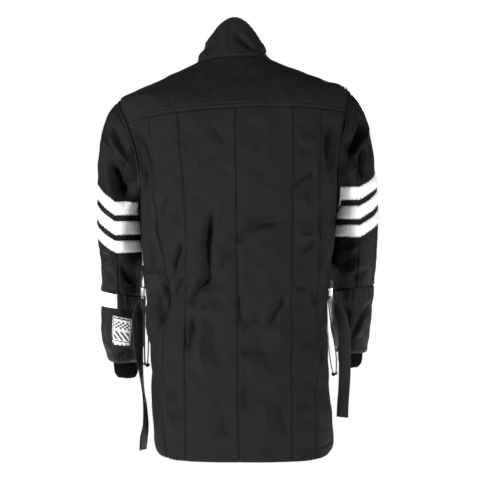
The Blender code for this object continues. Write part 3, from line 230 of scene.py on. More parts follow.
# Sleeve sections from the armhole to the end of the cuff. outer and inner are the sleeve's two
# edges seen from behind, middle_y is the section's depth and reach half its size along Y.
SLEEVE_COLUMNS = "outer_x outer_z inner_x inner_z middle_y reach".split()
SLEEVES = {
    "left": (
        (0.2300, -0.0768, 0.1925, -0.2860, 0.0000, 0.0680),
        (0.2467, -0.0936, 0.1945, -0.2925, -0.0010, 0.0690),
        (0.2620, -0.1246, 0.1955, -0.2960, -0.0020, 0.0700),
        (0.2700, -0.1597, 0.1960, -0.3020, -0.0030, 0.0705),
        (0.2730, -0.2005, 0.1960, -0.3120, -0.0050, 0.0700),
        (0.2740, -0.2434, 0.1958, -0.3260, -0.0080, 0.0690),
        (0.2757, -0.2844, 0.1952, -0.3432, -0.0130, 0.0675),
        (0.2772, -0.3274, 0.1942, -0.3640, -0.0210, 0.0660),
        (0.2756, -0.3620, 0.1934, -0.3880, -0.0320, 0.0645),
        (0.2730, -0.3960, 0.1930, -0.4140, -0.0460, 0.0630),
        (0.2738, -0.4300, 0.1928, -0.4430, -0.0640, 0.0620),
        (0.2752, -0.4515, 0.1902, -0.4640, -0.0760, 0.0615),
        (0.2775, -0.4887, 0.1895, -0.4980, -0.0960, 0.0610),
        (0.2803, -0.5300, 0.1911, -0.5360, -0.1180, 0.0600),
        (0.2775, -0.5628, 0.1945, -0.5640, -0.1360, 0.0560),
        (0.2700, -0.5860, 0.2020, -0.5860, -0.1500, 0.0470),
        (0.2592, -0.6040, 0.2092, -0.6040, -0.1620, 0.0340),
        (0.2583, -0.6230, 0.2110, -0.6230, -0.1760, 0.0325),
        (0.2560, -0.6400, 0.2130, -0.6400, -0.1880, 0.0310),
    ),
    "right": (
        (0.2139, -0.0580, 0.1925, -0.2760, 0.0000, 0.0680),
        (0.2291, -0.0741, 0.1940, -0.2800, -0.0010, 0.0690),
        (0.2475, -0.1060, 0.1945, -0.2850, -0.0020, 0.0700),
        (0.2584, -0.1443, 0.1945, -0.2920, -0.0030, 0.0705),
        (0.2634, -0.1849, 0.1942, -0.3020, -0.0050, 0.0700),
        (0.2675, -0.2238, 0.1935, -0.3150, -0.0080, 0.0690),
        (0.2710, -0.2680, 0.1925, -0.3310, -0.0130, 0.0675),
        (0.2738, -0.3180, 0.1910, -0.3530, -0.0210, 0.0660),
        (0.2735, -0.3560, 0.1890, -0.3760, -0.0320, 0.0645),
        (0.2728, -0.3910, 0.1868, -0.4020, -0.0460, 0.0630),
        (0.2721, -0.4230, 0.1862, -0.4310, -0.0640, 0.0620),
        (0.2718, -0.4414, 0.1860, -0.4495, -0.0760, 0.0615),
        (0.2705, -0.4800, 0.1872, -0.4840, -0.0960, 0.0610),
        (0.2694, -0.5200, 0.1885, -0.5220, -0.1180, 0.0600),
        (0.2680, -0.5500, 0.1925, -0.5500, -0.1360, 0.0560),
        (0.2630, -0.5700, 0.2000, -0.5700, -0.1480, 0.0470),
        (0.2565, -0.5836, 0.2065, -0.5836, -0.1570, 0.0340),
        (0.2560, -0.6010, 0.2085, -0.6010, -0.1700, 0.0325),
        (0.2530, -0.6180, 0.2110, -0.6180, -0.1820, 0.0310),
    ),
}
SLEEVE_BLEND = 5.0
ELBOW_SECTION = 11
CUFF_SECTION = 16
LAST_SECTION = 18
# Sections whose girth spaces out the columns of the pieces round them
STRIPE_SECTION = 5.0
BAND_SECTION = 11.5
FOREARM_SECTION = 13.0
SLEEVE_FRONT_TURN = -32
SLEEVE_BACK_TURN = 180

# Stripe edges at the sleeve's back seam, and how far each rises to the outer side.
STRIPE_COLUMNS = "edge_left edge_right rise_left rise_right".split()
STRIPE_EDGES = (
    (-0.2790, -0.2500, 0.0480, 0.0340),
    (-0.3035, -0.2745, 0.0450, 0.0340),
    (-0.3150, -0.2860, 0.0440, 0.0380),
    (-0.3410, -0.3110, 0.0440, 0.0380),
    (-0.3520, -0.3220, 0.0410, 0.0380),
    (-0.3750, -0.3450, 0.0390, 0.0380),
)
STRIPE_CLEAR_OF_ARMHOLE = 0.008
STRIPE_SAMPLES = 600
# Dip of a stripe over the sleeve's back seam: depth and half width in degrees
STRIPE_SEAM_DIP = 0.0006
STRIPE_SEAM_WIDTH = 1.4

# Folds: depth, width, lean and path. depth is out for positive, in for negative; lean moves the
# steep side, to the right of the path for positive. The paths of the folds that show are in pixels
# of the photograph. The others are (distance from the middle plane, level) on the front, (turn,
# section) on a sleeve and (angle, height) on the collar.
FOLDS_SEEN = {
    "back": (
        (-0.0075, 0.014, 0.55, ((219, 198), (212, 213), (209.5, 228), (207.5, 245), (206.5, 260),
         (205.5, 275), (199, 287), (191, 298))),
        (0.0035, 0.007, 0.2, ((226, 196), (219, 213), (216, 232), (213.5, 250), (212, 268))),
        (-0.0045, 0.009, 0.4, ((205.4, 270), (207.8, 279), (199, 287), (192, 298), (186.6, 305))),
        (0.0030, 0.006, 0.2, ((195, 302), (201, 307), (207.5, 312), (213, 306), (219, 298))),
        (-0.0050, 0.009, -0.3, ((195, 310), (193.6, 322), (192, 336), (189.5, 345), (186.5, 352))),
        (0.0035, 0.011, 0.3, ((203, 312), (202, 330), (201, 350), (203, 366))),
        (-0.0042, 0.009, 0.4, ((217, 260), (226, 248), (237, 240), (246, 234), (257, 225), (266, 223),
         (278, 221), (290, 214))),
        (0.0028, 0.008, 0.3, ((243, 243), (254, 234), (268, 231), (284, 228))),
        (-0.0038, 0.007, 0.4, ((218.5, 273), (225, 261), (235, 251), (240, 247))),
        (0.0028, 0.007, 0.2, ((222, 278), (228, 273), (240, 271))),
        (-0.0030, 0.012, 0.1, ((208, 119), (217, 132), (226, 144))),
        (-0.0026, 0.012, -0.1, ((194, 124), (186, 136), (183, 150))),
        (-0.0045, 0.010, 0.2, ((238.4, 292), (239, 302), (240.5, 314), (244, 326))),
        (-0.0040, 0.009, 0.3, ((241, 331), (248, 323), (256, 319), (266, 320))),
        (-0.0048, 0.009, -0.3, ((267, 330), (274.5, 317), (280, 304), (284, 292))),
        (-0.0038, 0.010, 0.3, ((240, 357), (249, 352), (260, 350), (273, 357))),
        (0.0034, 0.015, 0.0, ((245, 368), (258, 366), (272, 370))),
        (-0.0028, 0.012, 0.0, ((238, 391), (252, 392), (268, 388))),
        (0.0026, 0.014, 0.0, ((222, 402), (236, 408), (248, 404))),
        (-0.0045, 0.009, 0.4, ((184, 236), (179, 250), (175, 264), (172.6, 277))),
        (0.0035, 0.007, 0.2, ((176, 214), (172, 228), (166, 246))),
        (-0.0035, 0.009, 0.3, ((171, 192), (165, 204), (161, 220))),
        (0.0026, 0.009, 0.0, ((160, 156), (168, 152), (176, 156))),
        (-0.0050, 0.009, 0.4, ((184, 272), (181, 282), (176, 291), (171, 298))),
        (-0.0035, 0.009, 0.2, ((173, 353), (170, 362), (167.5, 370))),
        (0.0035, 0.007, 0.0, ((184, 381), (191, 378), (200, 377))),
        (-0.0030, 0.010, 0.2, ((166, 400), (172, 392), (180, 388))),
        (-0.0030, 0.010, 0.2, ((170, 420), (178, 412), (184, 414))),
        (-0.0050, 0.011, 0.2, ((131, 122), (139, 137), (146, 156), (148.5, 176), (150, 196))),
        (-0.0045, 0.012, 0.0, ((151, 230), (151.5, 250), (151, 270))),
        (0.0040, 0.006, 0.2, ((144.5, 275), (152, 274.5), (160, 276), (168, 274))),
        (-0.0050, 0.008, -0.2, ((157, 284), (156.5, 300), (158, 314))),
        (-0.0060, 0.008, 0.3, ((164.5, 280), (165, 300), (161, 318), (157.5, 334))),
        (0.0035, 0.008, 0.0, ((150, 300), (153, 318), (153, 336))),
        (-0.0030, 0.010, 0.0, ((157, 360), (156, 380), (158, 396))),
        (-0.0040, 0.008, 0.3, ((294, 189), (303, 179), (311, 175), (318, 173))),
        (0.0030, 0.009, 0.1, ((297, 145), (306, 140), (318, 137))),
        (-0.0028, 0.010, 0.1, ((296, 153), (306, 149), (316, 150))),
        (-0.0042, 0.007, 0.3, ((298, 255), (307, 248), (313, 243), (318, 238))),
        (0.0028, 0.006, 0.0, ((294, 237), (305, 236.5), (318, 236))),
        (0.0028, 0.009, 0.0, ((304, 190), (305, 206), (304, 222))),
        (-0.0050, 0.010, 0.1, ((325, 112), (326, 124), (331, 134), (329.5, 148), (333, 164), (332, 186))),
        (0.0032, 0.008, 0.0, ((326, 165), (328, 176), (327, 190))),
        (-0.0045, 0.008, 0.3, ((293.5, 291), (301, 287.5), (311, 289))),
        (-0.0060, 0.008, 0.3, ((310.5, 284), (314.5, 296), (317.5, 307))),
        (0.0040, 0.008, 0.0, ((327.5, 284), (325, 296), (322, 309))),
        (-0.0045, 0.009, 0.0, ((323.5, 240), (322, 256), (322.5, 272))),
        (-0.0040, 0.008, 0.0, ((321.5, 340), (322.5, 352), (321, 364))),
        (-0.0040, 0.008, 0.0, ((320.5, 384), (321, 393), (319.5, 402))),
        (-0.0032, 0.009, 0.0, ((294, 402), (302.5, 404), (311, 401))),
        (-0.0030, 0.010, 0.0, ((302, 378), (309, 380), (315, 378))),
        (0.0028, 0.012, 0.0, ((296, 348), (304, 350), (313, 348))),
        (-0.0042, 0.011, 0.1, ((131, 120), (137, 151), (144, 178), (148, 200))),
        (0.0026, 0.008, 0.0, ((127, 140), (131, 165), (137, 190))),
        (-0.0036, 0.011, 0.1, ((144, 190), (147, 235), (152, 278))),
        (0.0026, 0.007, 0.0, ((155, 214), (158, 240), (162, 262))),
        (-0.0042, 0.010, 0.2, ((169, 272), (161, 300), (157, 332))),
        (0.0030, 0.007, 0.0, ((151, 292), (149, 322), (152, 352))),
        (-0.0036, 0.011, 0.0, ((157, 350), (154, 385), (160, 424))),
        (0.0024, 0.009, 0.0, ((166, 380), (168, 410), (174, 436))),
        (-0.0036, 0.010, 0.1, ((333, 118), (331, 150), (336, 182))),
        (0.0026, 0.008, 0.0, ((341, 122), (343, 150), (342, 180))),
        (-0.0036, 0.010, 0.0, ((326, 196), (322, 225), (325, 250))),
        (0.0030, 0.008, 0.0, ((332, 216), (330, 240), (329, 268))),
        (-0.0040, 0.009, 0.0, ((326, 300), (323, 325), (328, 352))),
        (0.0026, 0.009, 0.0, ((318, 330), (316, 360), (319, 392))),
        (0.0022, 0.014, 0.0, ((196, 330), (199, 352), (205, 380))),
        (-0.0022, 0.012, 0.0, ((212, 322), (216, 350), (222, 382))),
        (0.0022, 0.013, 0.0, ((282, 300), (280, 330), (286, 352))),
        (-0.0022, 0.012, 0.0, ((228, 396), (224, 420), (230, 440))),
        (0.0020, 0.012, 0.0, ((262, 396), (266, 418), (260, 440))),
        (-0.0020, 0.010, 0.0, ((280, 404), (284, 424), (290, 440))),
    ),
    "left": (
        (0.0045, 0.006, 0.3, ((101, 133), (111.8, 149.6), (121.8, 164.5), (133.3, 177.7))),
        (0.0035, 0.006, 0.3, ((108.5, 132), (116, 146), (126, 162), (135, 172))),
        (-0.0030, 0.006, 0.1, ((106, 141), (116, 155), (131.7, 175))),
        (-0.0150, 0.017, 0.1, ((101, 150), (108, 168), (119, 182), (130, 192), (137, 198))),
        (-0.0035, 0.009, 0.2, ((113.5, 122), (118.5, 142), (128, 158))),
        (0.0035, 0.007, 0.1, ((101, 248), (109, 252), (117, 259))),
        (-0.0035, 0.007, 0.1, ((101, 255), (110, 259), (118, 266))),
        (-0.0040, 0.008, 0.2, ((120, 262), (124, 272), (130, 280), (137, 286))),
        (0.0040, 0.007, 0.2, ((124, 282), (130, 284), (137, 282))),
        (-0.0040, 0.010, 0.0, ((104, 270), (110, 279), (113, 290))),
        (-0.0050, 0.008, 0.2, ((118, 350), (125, 346), (133, 340), (139, 330))),
        (-0.0045, 0.008, 0.2, ((117, 358), (126, 354), (136, 348))),
        (-0.0035, 0.009, 0.2, ((122, 306), (128, 318), (134, 328))),
    ),
    "right": (
        (-0.0120, 0.011, 0.1, ((361, 108), (363.5, 120), (362.5, 131), (356.6, 143), (349, 151),
         (346.7, 170))),
        (0.0050, 0.007, 0.1, ((368, 124), (365.5, 139), (359.5, 150), (357, 159))),
        (0.0040, 0.005, 0.1, ((360.5, 160), (360, 166), (352, 171), (343, 176))),
        (-0.0080, 0.008, 0.1, ((368, 143), (364, 154), (362, 170), (363.5, 182))),
        (0.0035, 0.008, 0.1, ((355.5, 116), (354, 134), (350, 144))),
        (0.0055, 0.009, 0.1, ((347, 254), (355, 247), (363, 240))),
        (-0.0042, 0.014, 0.1, ((338, 262), (349, 261), (360, 256))),
        (0.0050, 0.009, 0.1, ((346, 274), (355, 268), (364, 261))),
        (-0.0036, 0.013, 0.1, ((338, 247), (346, 244), (354, 238))),
        (-0.0040, 0.008, 0.1, ((350, 282), (360, 277), (370, 268))),
        (-0.0050, 0.008, 0.2, ((372, 298), (363, 318), (353, 338), (348, 352))),
        (0.0035, 0.007, 0.0, ((369, 310), (362, 324), (355, 342))),
        (-0.0040, 0.008, 0.0, ((344, 300), (347, 318), (344, 334))),
    ),
}
FOLDS_HIDDEN = {
    "front": (
        (-0.0045, 0.012, 0.4, ((0.150, -0.250), (0.118, -0.285), (0.096, -0.330))),
        (-0.0040, 0.012, -0.4, ((-0.148, -0.255), (-0.122, -0.282), (-0.104, -0.320))),
        (-0.0045, 0.010, 0.3, ((0.160, -0.425), (0.120, -0.445), (0.080, -0.438))),
        (-0.0045, 0.010, 0.3, ((-0.158, -0.432), (-0.118, -0.440), (-0.086, -0.458))),
        (0.0040, 0.016, 0.1, ((0.060, -0.500), (0.075, -0.560), (0.070, -0.615))),
        (0.0040, 0.016, -0.1, ((-0.070, -0.485), (-0.082, -0.540), (-0.070, -0.590))),
        (-0.0050, 0.011, 0.4, ((0.052, -0.190), (0.060, -0.240), (0.055, -0.300), (0.066, -0.352))),
        (-0.0040, 0.010, -0.4, ((-0.040, -0.205), (-0.052, -0.262), (-0.046, -0.318))),
        (-0.0035, 0.012, 0.2, ((0.130, -0.560), (0.112, -0.590), (0.088, -0.600))),
        (-0.0035, 0.012, 0.2, ((-0.136, -0.540), (-0.120, -0.575), (-0.096, -0.592))),
        (0.0030, 0.010, 0.2, ((0.158, -0.400), (0.128, -0.412), (0.104, -0.402))),
        (0.0030, 0.010, 0.2, ((-0.160, -0.404), (-0.130, -0.410), (-0.104, -0.420))),
    ),
    "left": (
        (0.0025, 0.030, 0.0, ((268, 0.8), (268, 5.0), (266, 9.8))),
        (-0.0050, 0.010, 0.3, ((60, 4.0), (30, 5.2), (0, 6.2))),
        (-0.0045, 0.010, 0.3, ((60, 8.6), (20, 9.4), (-20, 9.0))),
        (0.0035, 0.009, 0.1, ((70, 9.6), (30, 10.2), (-10, 9.9))),
        (-0.0045, 0.010, 0.2, ((50, 12.6), (10, 13.6), (-25, 14.4))),
        (-0.0040, 0.011, 0.2, ((30, 1.2), (6, 2.6), (-22, 3.4))),
    ),
    "right": (
        (0.0030, 0.030, 0.0, ((270, 0.8), (270, 6.0), (270, 11.6))),
        (0.0020, 0.022, 0.0, ((268, 6.6), (266, 9.4), (264, 13.0))),
        (-0.0050, 0.010, 0.3, ((62, 4.2), (28, 5.0), (-4, 6.0))),
        (-0.0045, 0.010, 0.3, ((56, 8.8), (18, 9.6), (-22, 9.2))),
        (0.0035, 0.009, 0.1, ((66, 9.9), (26, 10.4), (-14, 10.0))),
        (-0.0045, 0.010, 0.2, ((58, 12.4), (14, 13.2), (-20, 14.2))),
        (-0.0040, 0.011, 0.2, ((34, 1.4), (4, 2.4), (-20, 3.6))),
    ),
    "collar": (
        (0.0026, 0.020, 0.0, ((-80, 1.00), (-86, 0.68), (-88, 0.34))),
        (0.0012, 0.014, 0.0, ((80, 0.75), (86, 0.48), (84, 0.15))),
        (0.0025, 0.006, 0.2, ((12, 0.05), (14, 0.45), (10, 0.85))),
        (-0.0050, 0.009, 0.3, ((2, 0.62), (-14, 0.40), (-38, 0.16))),
        (0.0030, 0.007, 0.1, ((-8, 0.66), (-26, 0.50), (-48, 0.34))),
        (-0.0035, 0.008, 0.1, ((44, 0.80), (56, 0.55), (74, 0.62))),
        (0.0030, 0.010, 0.1, ((40, 0.20), (60, 0.26), (82, 0.22))),
        (-0.0030, 0.008, 0.1, ((-62, 0.86), (-70, 0.55), (-66, 0.20))),
        (-0.0030, 0.010, 0.1, ((120, 0.70), (136, 0.45), (150, 0.50))),
        (-0.0030, 0.010, 0.1, ((-124, 0.60), (-140, 0.40), (-152, 0.55))),
    ),
}

# Gathers under the elbow seam and above the cuff: their number, height and reach in sections.
GATHERS = 22
GATHER_DEPTH = 0.0022
GATHER_ELBOW_REACH = 1.6
GATHER_WRIST_REACH = 1.3
GATHER_LEAST = 0.2
GATHER_AT_WRIST = 0.8
GATHER_UNEVEN = 0.35
GATHER_SLIDE = 6.0
WRIST_BULGE = 0.0045
WRIST_BULGE_ABOVE_CUFF = 0.55
WRIST_BULGE_REACH = 0.42
CUFF_TAPER = 0.0040
CUFF_TAPER_SECTIONS = 1.1
RIBS = 56
RIB_HEIGHT = 0.0008
RIB_COLUMNS = 6

# Label place on the left forearm, its printed design, and the white band above it. The frame is in
# parts of the half width, the chequer and the bars in squares from the middle.
PATCH_TURNS = (206.0, 158.0)
PATCH_SECTIONS = (12.28, 13.95)
PATCH_SLANT = 0.10
PATCH_TWIST = 5.0
LABEL_WIDTH = 0.0400
LABEL_LENGTH = 0.0620
LABEL_SQUARE = 0.0042
LABEL_FRAME = (0.84, 0.92)
LABEL_INSIDE = 0.76
LABEL_CHECKS = (-5.0, -1.0)
LABEL_BARS_FROM = 0.6
LABEL_BAR_SLANT = 0.7
LABEL_BAR_PITCH = 1.3
LABEL_BAR_GAP = 0.1
PATCH_CALM_MARGIN = (6.0, 0.12)
PATCH_CALM_REACH = (12.0, 0.35)
BAND_END_TURN = 172
BAND_GAP = 0.03
BAND_SECTIONS = 0.80

# Zip
ZIP_ROWS = 240
ZIP_SAMPLES = 900
ZIP_END_GAP = 0.002
ZIP_PITCH = 0.0021
TOOTH = (0.0034, 0.0014, 0.0020)
TOOTH_OFFSET = 0.0010
CHAIN_DEPTH = 0.0015
TAPE_EDGES = (0.0033, 0.0163)
TAPE_DEPTH = 0.0018
TAPE_THICK = 0.0008
SLIDER_LEVEL = -0.034
SLIDER_SIZE = (0.0080, 0.0022, 0.0125)
BRIDGE_BAR = (0.0026, 0.0012, 0.0096)
BRIDGE_CLEARANCE = 0.0023
PULL_PIN = 0.0016
PULL_EYE = (0.0056, 0.0070)
PULL_ARM = 0.0013
PULL_THICK = 0.0014
PULL_PLATE = (0.0082, 0.0240)
PULL_RIDGE = (0.6, 0.0006, 0.0016)
PULL_RIDGE_PLACES = (0.72, 0.84)
SLIDER_BEVEL = 0.0009
BAR_BEVEL = 0.0005
FINE_BEVEL = 0.0003
TEETH_AT_ONCE = 40

# Side adjusters
WEBBING_WIDTH = 0.0250
WEBBING_THICK = 0.0014
WEBBING_COLUMNS = (-1.0, -0.97, -0.90, -0.78, -0.5, -0.2, 0.2, 0.5, 0.78, 0.90, 0.97, 1.0)
WEBBING_EDGE = (12, 0.04)
ANCHOR_ANGLE = 103.0
ANCHOR_LEVELS = (-0.4360, -0.4600)
ANCHOR_ROWS = 9
ANCHOR_STITCH_ROWS = (1, 7)
STRAP_STEPS = 6
TAB_STEPS = 4
TAB_STITCH_ROWS = (-8, -2)
TAB_ANGLE = 90.0
# The tab's route: stand-off from the cloth, and level.
TAB_ROUTE = (
    (0.0010, -0.4000),
    (0.0010, -0.4150),
    (0.0010, -0.4280),
    (0.0010, -0.4390),
    (0.0013, -0.4430),
    (0.0026, -0.4455),
    (0.0049, -0.4464),
    (0.0073, -0.4455),
    (0.0086, -0.4430),
    (0.0087, -0.4390),
    (0.0066, -0.4290),
    (0.0030, -0.4170),
    (0.0027, -0.4090),
    (0.0027, -0.4010),
)
RING_WIRE = 0.00125
RING_GRID = (80, 16)
RING_CORNER = 0.0022
RING_TOP = -0.4430
RING_STAND_OFF = 0.0034
TAB_SHIFT_LEVELS = (-0.432, -0.410)

# Strap routes below the anchor, a row for each point: distance from the middle plane, y, z and
# the turn of the webbing's width from X towards Y. The last point is the free end.
STRAPS = {
    "left": (
        (0.1790, -0.0310, -0.4900, 90),
        (0.1778, -0.0300, -0.5200, 90),
        (0.1776, -0.0270, -0.5500, 90),
        (0.1778, -0.0230, -0.5780, 90),
        (0.1788, -0.0205, -0.5900, 90),
        (0.1810, -0.0185, -0.5955, 90),
        (0.1832, -0.0165, -0.5910, 90),
        (0.1842, -0.0140, -0.5780, 90),
        (0.1840, -0.0080, -0.5450, 90),
        (0.1834, -0.0030, -0.5050, 90),
        (0.1823, 0.0000, -0.4760, 90),
        (0.1822, 0.0000, -0.4645, 90),
        (0.1836, 0.0000, -0.4613, 90),
        (0.1860, 0.0000, -0.4608, 90),
        (0.1885, 0.0000, -0.4613, 90),
        (0.1899, 0.0000, -0.4645, 90),
        (0.1912, 0.0030, -0.4740, 78),
        (0.1940, 0.0120, -0.4900, 52),
        (0.1955, 0.0200, -0.5150, 40),
        (0.1935, 0.0240, -0.5500, 48),
        (0.1905, 0.0250, -0.5850, 64),
        (0.1870, 0.0250, -0.6150, 78),
        (0.1835, 0.0250, -0.6450, 84),
        (0.1800, 0.0260, -0.6750, 76),
        (0.1790, 0.0260, -0.7050, 68),
        (0.1825, 0.0250, -0.7320, 56),
        (0.1845, 0.0240, -0.7560, 60),
    ),
    "right": (
        (0.1745, -0.0310, -0.4900, 90),
        (0.1752, -0.0300, -0.5200, 90),
        (0.1778, -0.0280, -0.5600, 90),
        (0.1815, -0.0250, -0.5930, 90),
        (0.1850, -0.0225, -0.6090, 90),
        (0.1888, -0.0200, -0.6140, 90),
        (0.1916, -0.0175, -0.6070, 90),
        (0.1918, -0.0140, -0.5870, 90),
        (0.1865, -0.0080, -0.5450, 90),
        (0.1795, -0.0030, -0.5050, 90),
        (0.1761, 0.0000, -0.4760, 90),
        (0.1760, 0.0000, -0.4645, 90),
        (0.1774, 0.0000, -0.4613, 90),
        (0.1799, 0.0000, -0.4608, 90),
        (0.1824, 0.0000, -0.4613, 90),
        (0.1838, 0.0000, -0.4645, 90),
        (0.1862, 0.0030, -0.4720, 76),
        (0.1930, 0.0120, -0.4870, 50),
        (0.2010, 0.0205, -0.5100, 34),
        (0.2048, 0.0245, -0.5450, 28),
        (0.2050, 0.0260, -0.5800, 28),
        (0.2046, 0.0265, -0.6150, 30),
        (0.2030, 0.0265, -0.6450, 34),
        (0.2012, 0.0262, -0.6700, 32),
        (0.2005, 0.0260, -0.6930, 30),
    ),
}

# Stage. Each light has its place and watts.
AMBIENT = 0.12
FLOOR_SIZE = 4.6
FLOOR_LEVEL = -1.30
FLOOR_GLOW = 0.45
LIGHT_SIZE = 0.5
LIGHT_AIM = (0.0, 0.0, -0.35)
LIGHTS = {
    "key": ((2.7, 1.6, 0.0), 118.0),
    "fill": ((-2.6, 1.9, -0.2), 68.0),
    "front_key": ((-0.8, -3.1, 0.5), 120.0),
    "front_fill": ((0.9, -3.1, -0.5), 45.0),
}
CAMERA_PLACE = (-0.0029, 2.5, -0.351)
CAMERA_LENS = 96.15
# The photograph's middle in pixels, and what a pixel of it covers in the middle plane of the jacket
PICTURE_MIDDLE = 240.0
PIXEL = 0.00195
# How finely the cloth that shows is searched for the places under the photograph's pixels
SEEN_ANGLES = np.arange(-88.0, 88.1, 0.5)
SEEN_LEVELS = np.arange(HEM_LEVEL, -0.02, 0.002)
SEEN_TURNS = np.arange(92.0, 269.0)
SEEN_SECTIONS = np.arange(0, CUFF_SECTION + 0.01, 0.025)


def columns_of(names, rows):
    return {name: np.array(column, float) for name, column in zip(names, zip(*rows))}


BODY_TABLE = columns_of(BODY_COLUMNS, BODY)
SEAM_TABLE = columns_of(SEAM_COLUMNS, BACK_SEAMS)
STRIPE_TABLE = columns_of(STRIPE_COLUMNS, STRIPE_EDGES)
SLEEVE_TABLES = {side: columns_of(SLEEVE_COLUMNS, rows) for side, rows in SLEEVES.items()}


def through(knots, values, at):
    """The smooth curve through the values at the knots, with no swing past them."""
    secants = np.diff(values) / np.diff(knots)
    before, after = secants[:-1], secants[1:]
    same_way = before * after > 0
    total = np.where(same_way, before + after, 1.0)
    slopes = np.where(same_way, 2 * before * after / total, 0.0)
    slopes = np.concatenate([secants[:1], slopes, secants[-1:]])
    at = np.clip(at, knots[0], knots[-1])
    low = np.clip(np.searchsorted(knots, at) - 1, 0, len(knots) - 2)
    step = knots[low + 1] - knots[low]
    part = (at - knots[low]) / step
    start = (1 + 2 * part) * values[low] + part * step * slopes[low]
    end = (3 - 2 * part) * values[low + 1] - (1 - part) * step * slopes[low + 1]
    return (1 - part) ** 2 * start + part**2 * end


def finer(rows, steps):
    """More points on the smooth curve through the rows."""
    knots = np.arange(len(rows), dtype=float)
    at = np.linspace(0, len(rows) - 1, (len(rows) - 1) * steps + 1)
    return np.stack([through(knots, column, at) for column in rows.T], axis=1)


def sample(at, length, rows):
    """The rows at these lengths, where length holds the length at each row."""
    return np.stack([np.interp(at, length, column) for column in rows.T], axis=-1)


def ramp(at, start, end):
    """0 up to start, 1 from end on, and a smooth rise between."""
    part = np.clip((at - start) / (end - start), 0, 1)
    return part * part * (3 - 2 * part)


def unit(vectors):
    return vectors / np.linalg.norm(vectors, axis=-1, keepdims=True)


def body_form(angle, level):
    """The body's outer surface without its folds."""
    angle, level = np.broadcast_arrays(np.asarray(angle, float), np.asarray(level, float))
    row = {name: through(BODY_TABLE["level"], BODY_TABLE[name], level) for name in BODY_COLUMNS}
    sine = np.sin(np.radians(angle))
    cosine = np.cos(np.radians(angle))
    side = np.sign(sine) * np.abs(sine) ** (2 / SQUARENESS)
    away = np.abs(cosine) ** (2 / SQUARENESS)
    behind = cosine > 0
    x = row["centre"] + row["half_width"] * side
    y = np.where(behind, row["back"], -row["front"]) * away
    middle_z = np.where(behind, row["back_z"], row["front_z"])
    bend = away ** (1 + ramp(level, EVEN_BEND_BELOW, ROUND_BEND_ABOVE))
    z = level + (middle_z - level) * bend + row["dip"] * 4 * away * (1 - away)
    z = z + SHOULDER_TILT * (x - row["centre"]) * ramp(level, TILT_FROM, TILT_FULL)
    return np.stack([x, y, z], axis=-1)


def body_angle(x, level):
    """The angle at which the back is this far from the middle plane."""
    centre = through(BODY_TABLE["level"], BODY_TABLE["centre"], level)
    half = through(BODY_TABLE["level"], BODY_TABLE["half_width"], level)
    part = np.clip((x - centre) / half, -1, 1)
    return np.degrees(np.sign(part) * np.arcsin(np.abs(part) ** (SQUARENESS / 2)))


def surface_normal(form, first, second):
    """Unit normals of form(first, second), from steps along both."""
    step = NORMAL_LEVEL if form is body_form else NORMAL_SECTION
    along_first = form(first + NORMAL_TURN, second) - form(first - NORMAL_TURN, second)
    along_second = form(first, second + step) - form(first, second - step)
    return unit(np.cross(along_second, along_first))


def armhole(turn):
    """Angle and level on the body of a point of the left armhole."""
    turn = np.radians(turn)
    return ARM_ANGLE + ARM_HALF_ANGLE * np.cos(turn), ARM_MIDDLE + ARM_HALF * np.sin(turn)


def mirror(side, points):
    return points * np.array([1.0 if side == "left" else -1.0, 1.0, 1.0])


def sleeve_form(side, turn, section):
    """The sleeve's outer surface without its folds."""
    turn, section = np.broadcast_arrays(np.asarray(turn, float), np.asarray(section, float))
    table = SLEEVE_TABLES[side]
    knots = np.arange(len(table["reach"]), dtype=float)
    row = {name: through(knots, table[name], section) for name in SLEEVE_COLUMNS}
    sine = np.sin(np.radians(turn))
    cosine = np.cos(np.radians(turn))

    def oval(values):
        across = 0.5 * (1 + sine)
        x = values["inner_x"] + (values["outer_x"] - values["inner_x"]) * across
        z = values["inner_z"] + (values["outer_z"] - values["inner_z"]) * across
        return np.stack([x, values["middle_y"] - values["reach"] * cosine, z], axis=-1)

    first = {name: table[name][0] for name in SLEEVE_COLUMNS}
    angle, level = armhole(turn)
    hole = mirror(side, body_form(angle if side == "left" else -angle, level))
    left_over = 1 - ramp(section, 0, SLEEVE_BLEND)[..., None]
    return mirror(side, oval(row) + left_over * (hole - oval(first)))


def sleeve_normal(side, turn, section):
    def form(turns, sections):
        return mirror(side, sleeve_form(side, turns, sections))

    section = np.maximum(section, 0.01)
    return mirror(side, surface_normal(form, turn, section))


def armhole_normal(side, turn):
    """The direction of both walls at the armhole seam."""
    angle, level = armhole(turn)
    body = surface_normal(body_form, angle if side == "left" else -angle, level)
    return unit(body + sleeve_normal(side, turn, np.full_like(np.asarray(turn, float), 0.3)))


def armhole_place(angle, level):
    """How far outside the armhole's ellipse a point of the body is, 0 on it, and its turn."""
    across = (np.abs(angle) - ARM_ANGLE) / ARM_HALF_ANGLE
    up = (level - ARM_MIDDLE) / ARM_HALF
    return np.hypot(across, up) - 1, np.degrees(np.arctan2(up, across))


def body_normal(angle, level):
    """Unit normals of the body, turned to the shared direction at the armholes and the neck."""
    normal = surface_normal(body_form, angle, level)
    away, turn = armhole_place(angle, level)
    for side, here in (("left", angle > 0), ("right", angle < 0)):
        spot = (np.abs(away) < ARMHOLE_BLEND) & here
        share = (1 - ramp(np.abs(away[spot]), 0, ARMHOLE_BLEND))[:, None]
        normal[spot] = unit(normal[spot] * (1 - share) + armhole_normal(side, turn[spot]) * share)
    neck = level > NECK_LEVEL - NECK_BLEND
    share = ramp(level[neck], NECK_LEVEL - NECK_BLEND, NECK_LEVEL)[:, None]
    collar = collar_normal(angle[neck], np.zeros(neck.sum()))
    normal[neck] = unit(normal[neck] * (1 - share) + collar * share)
    return normal


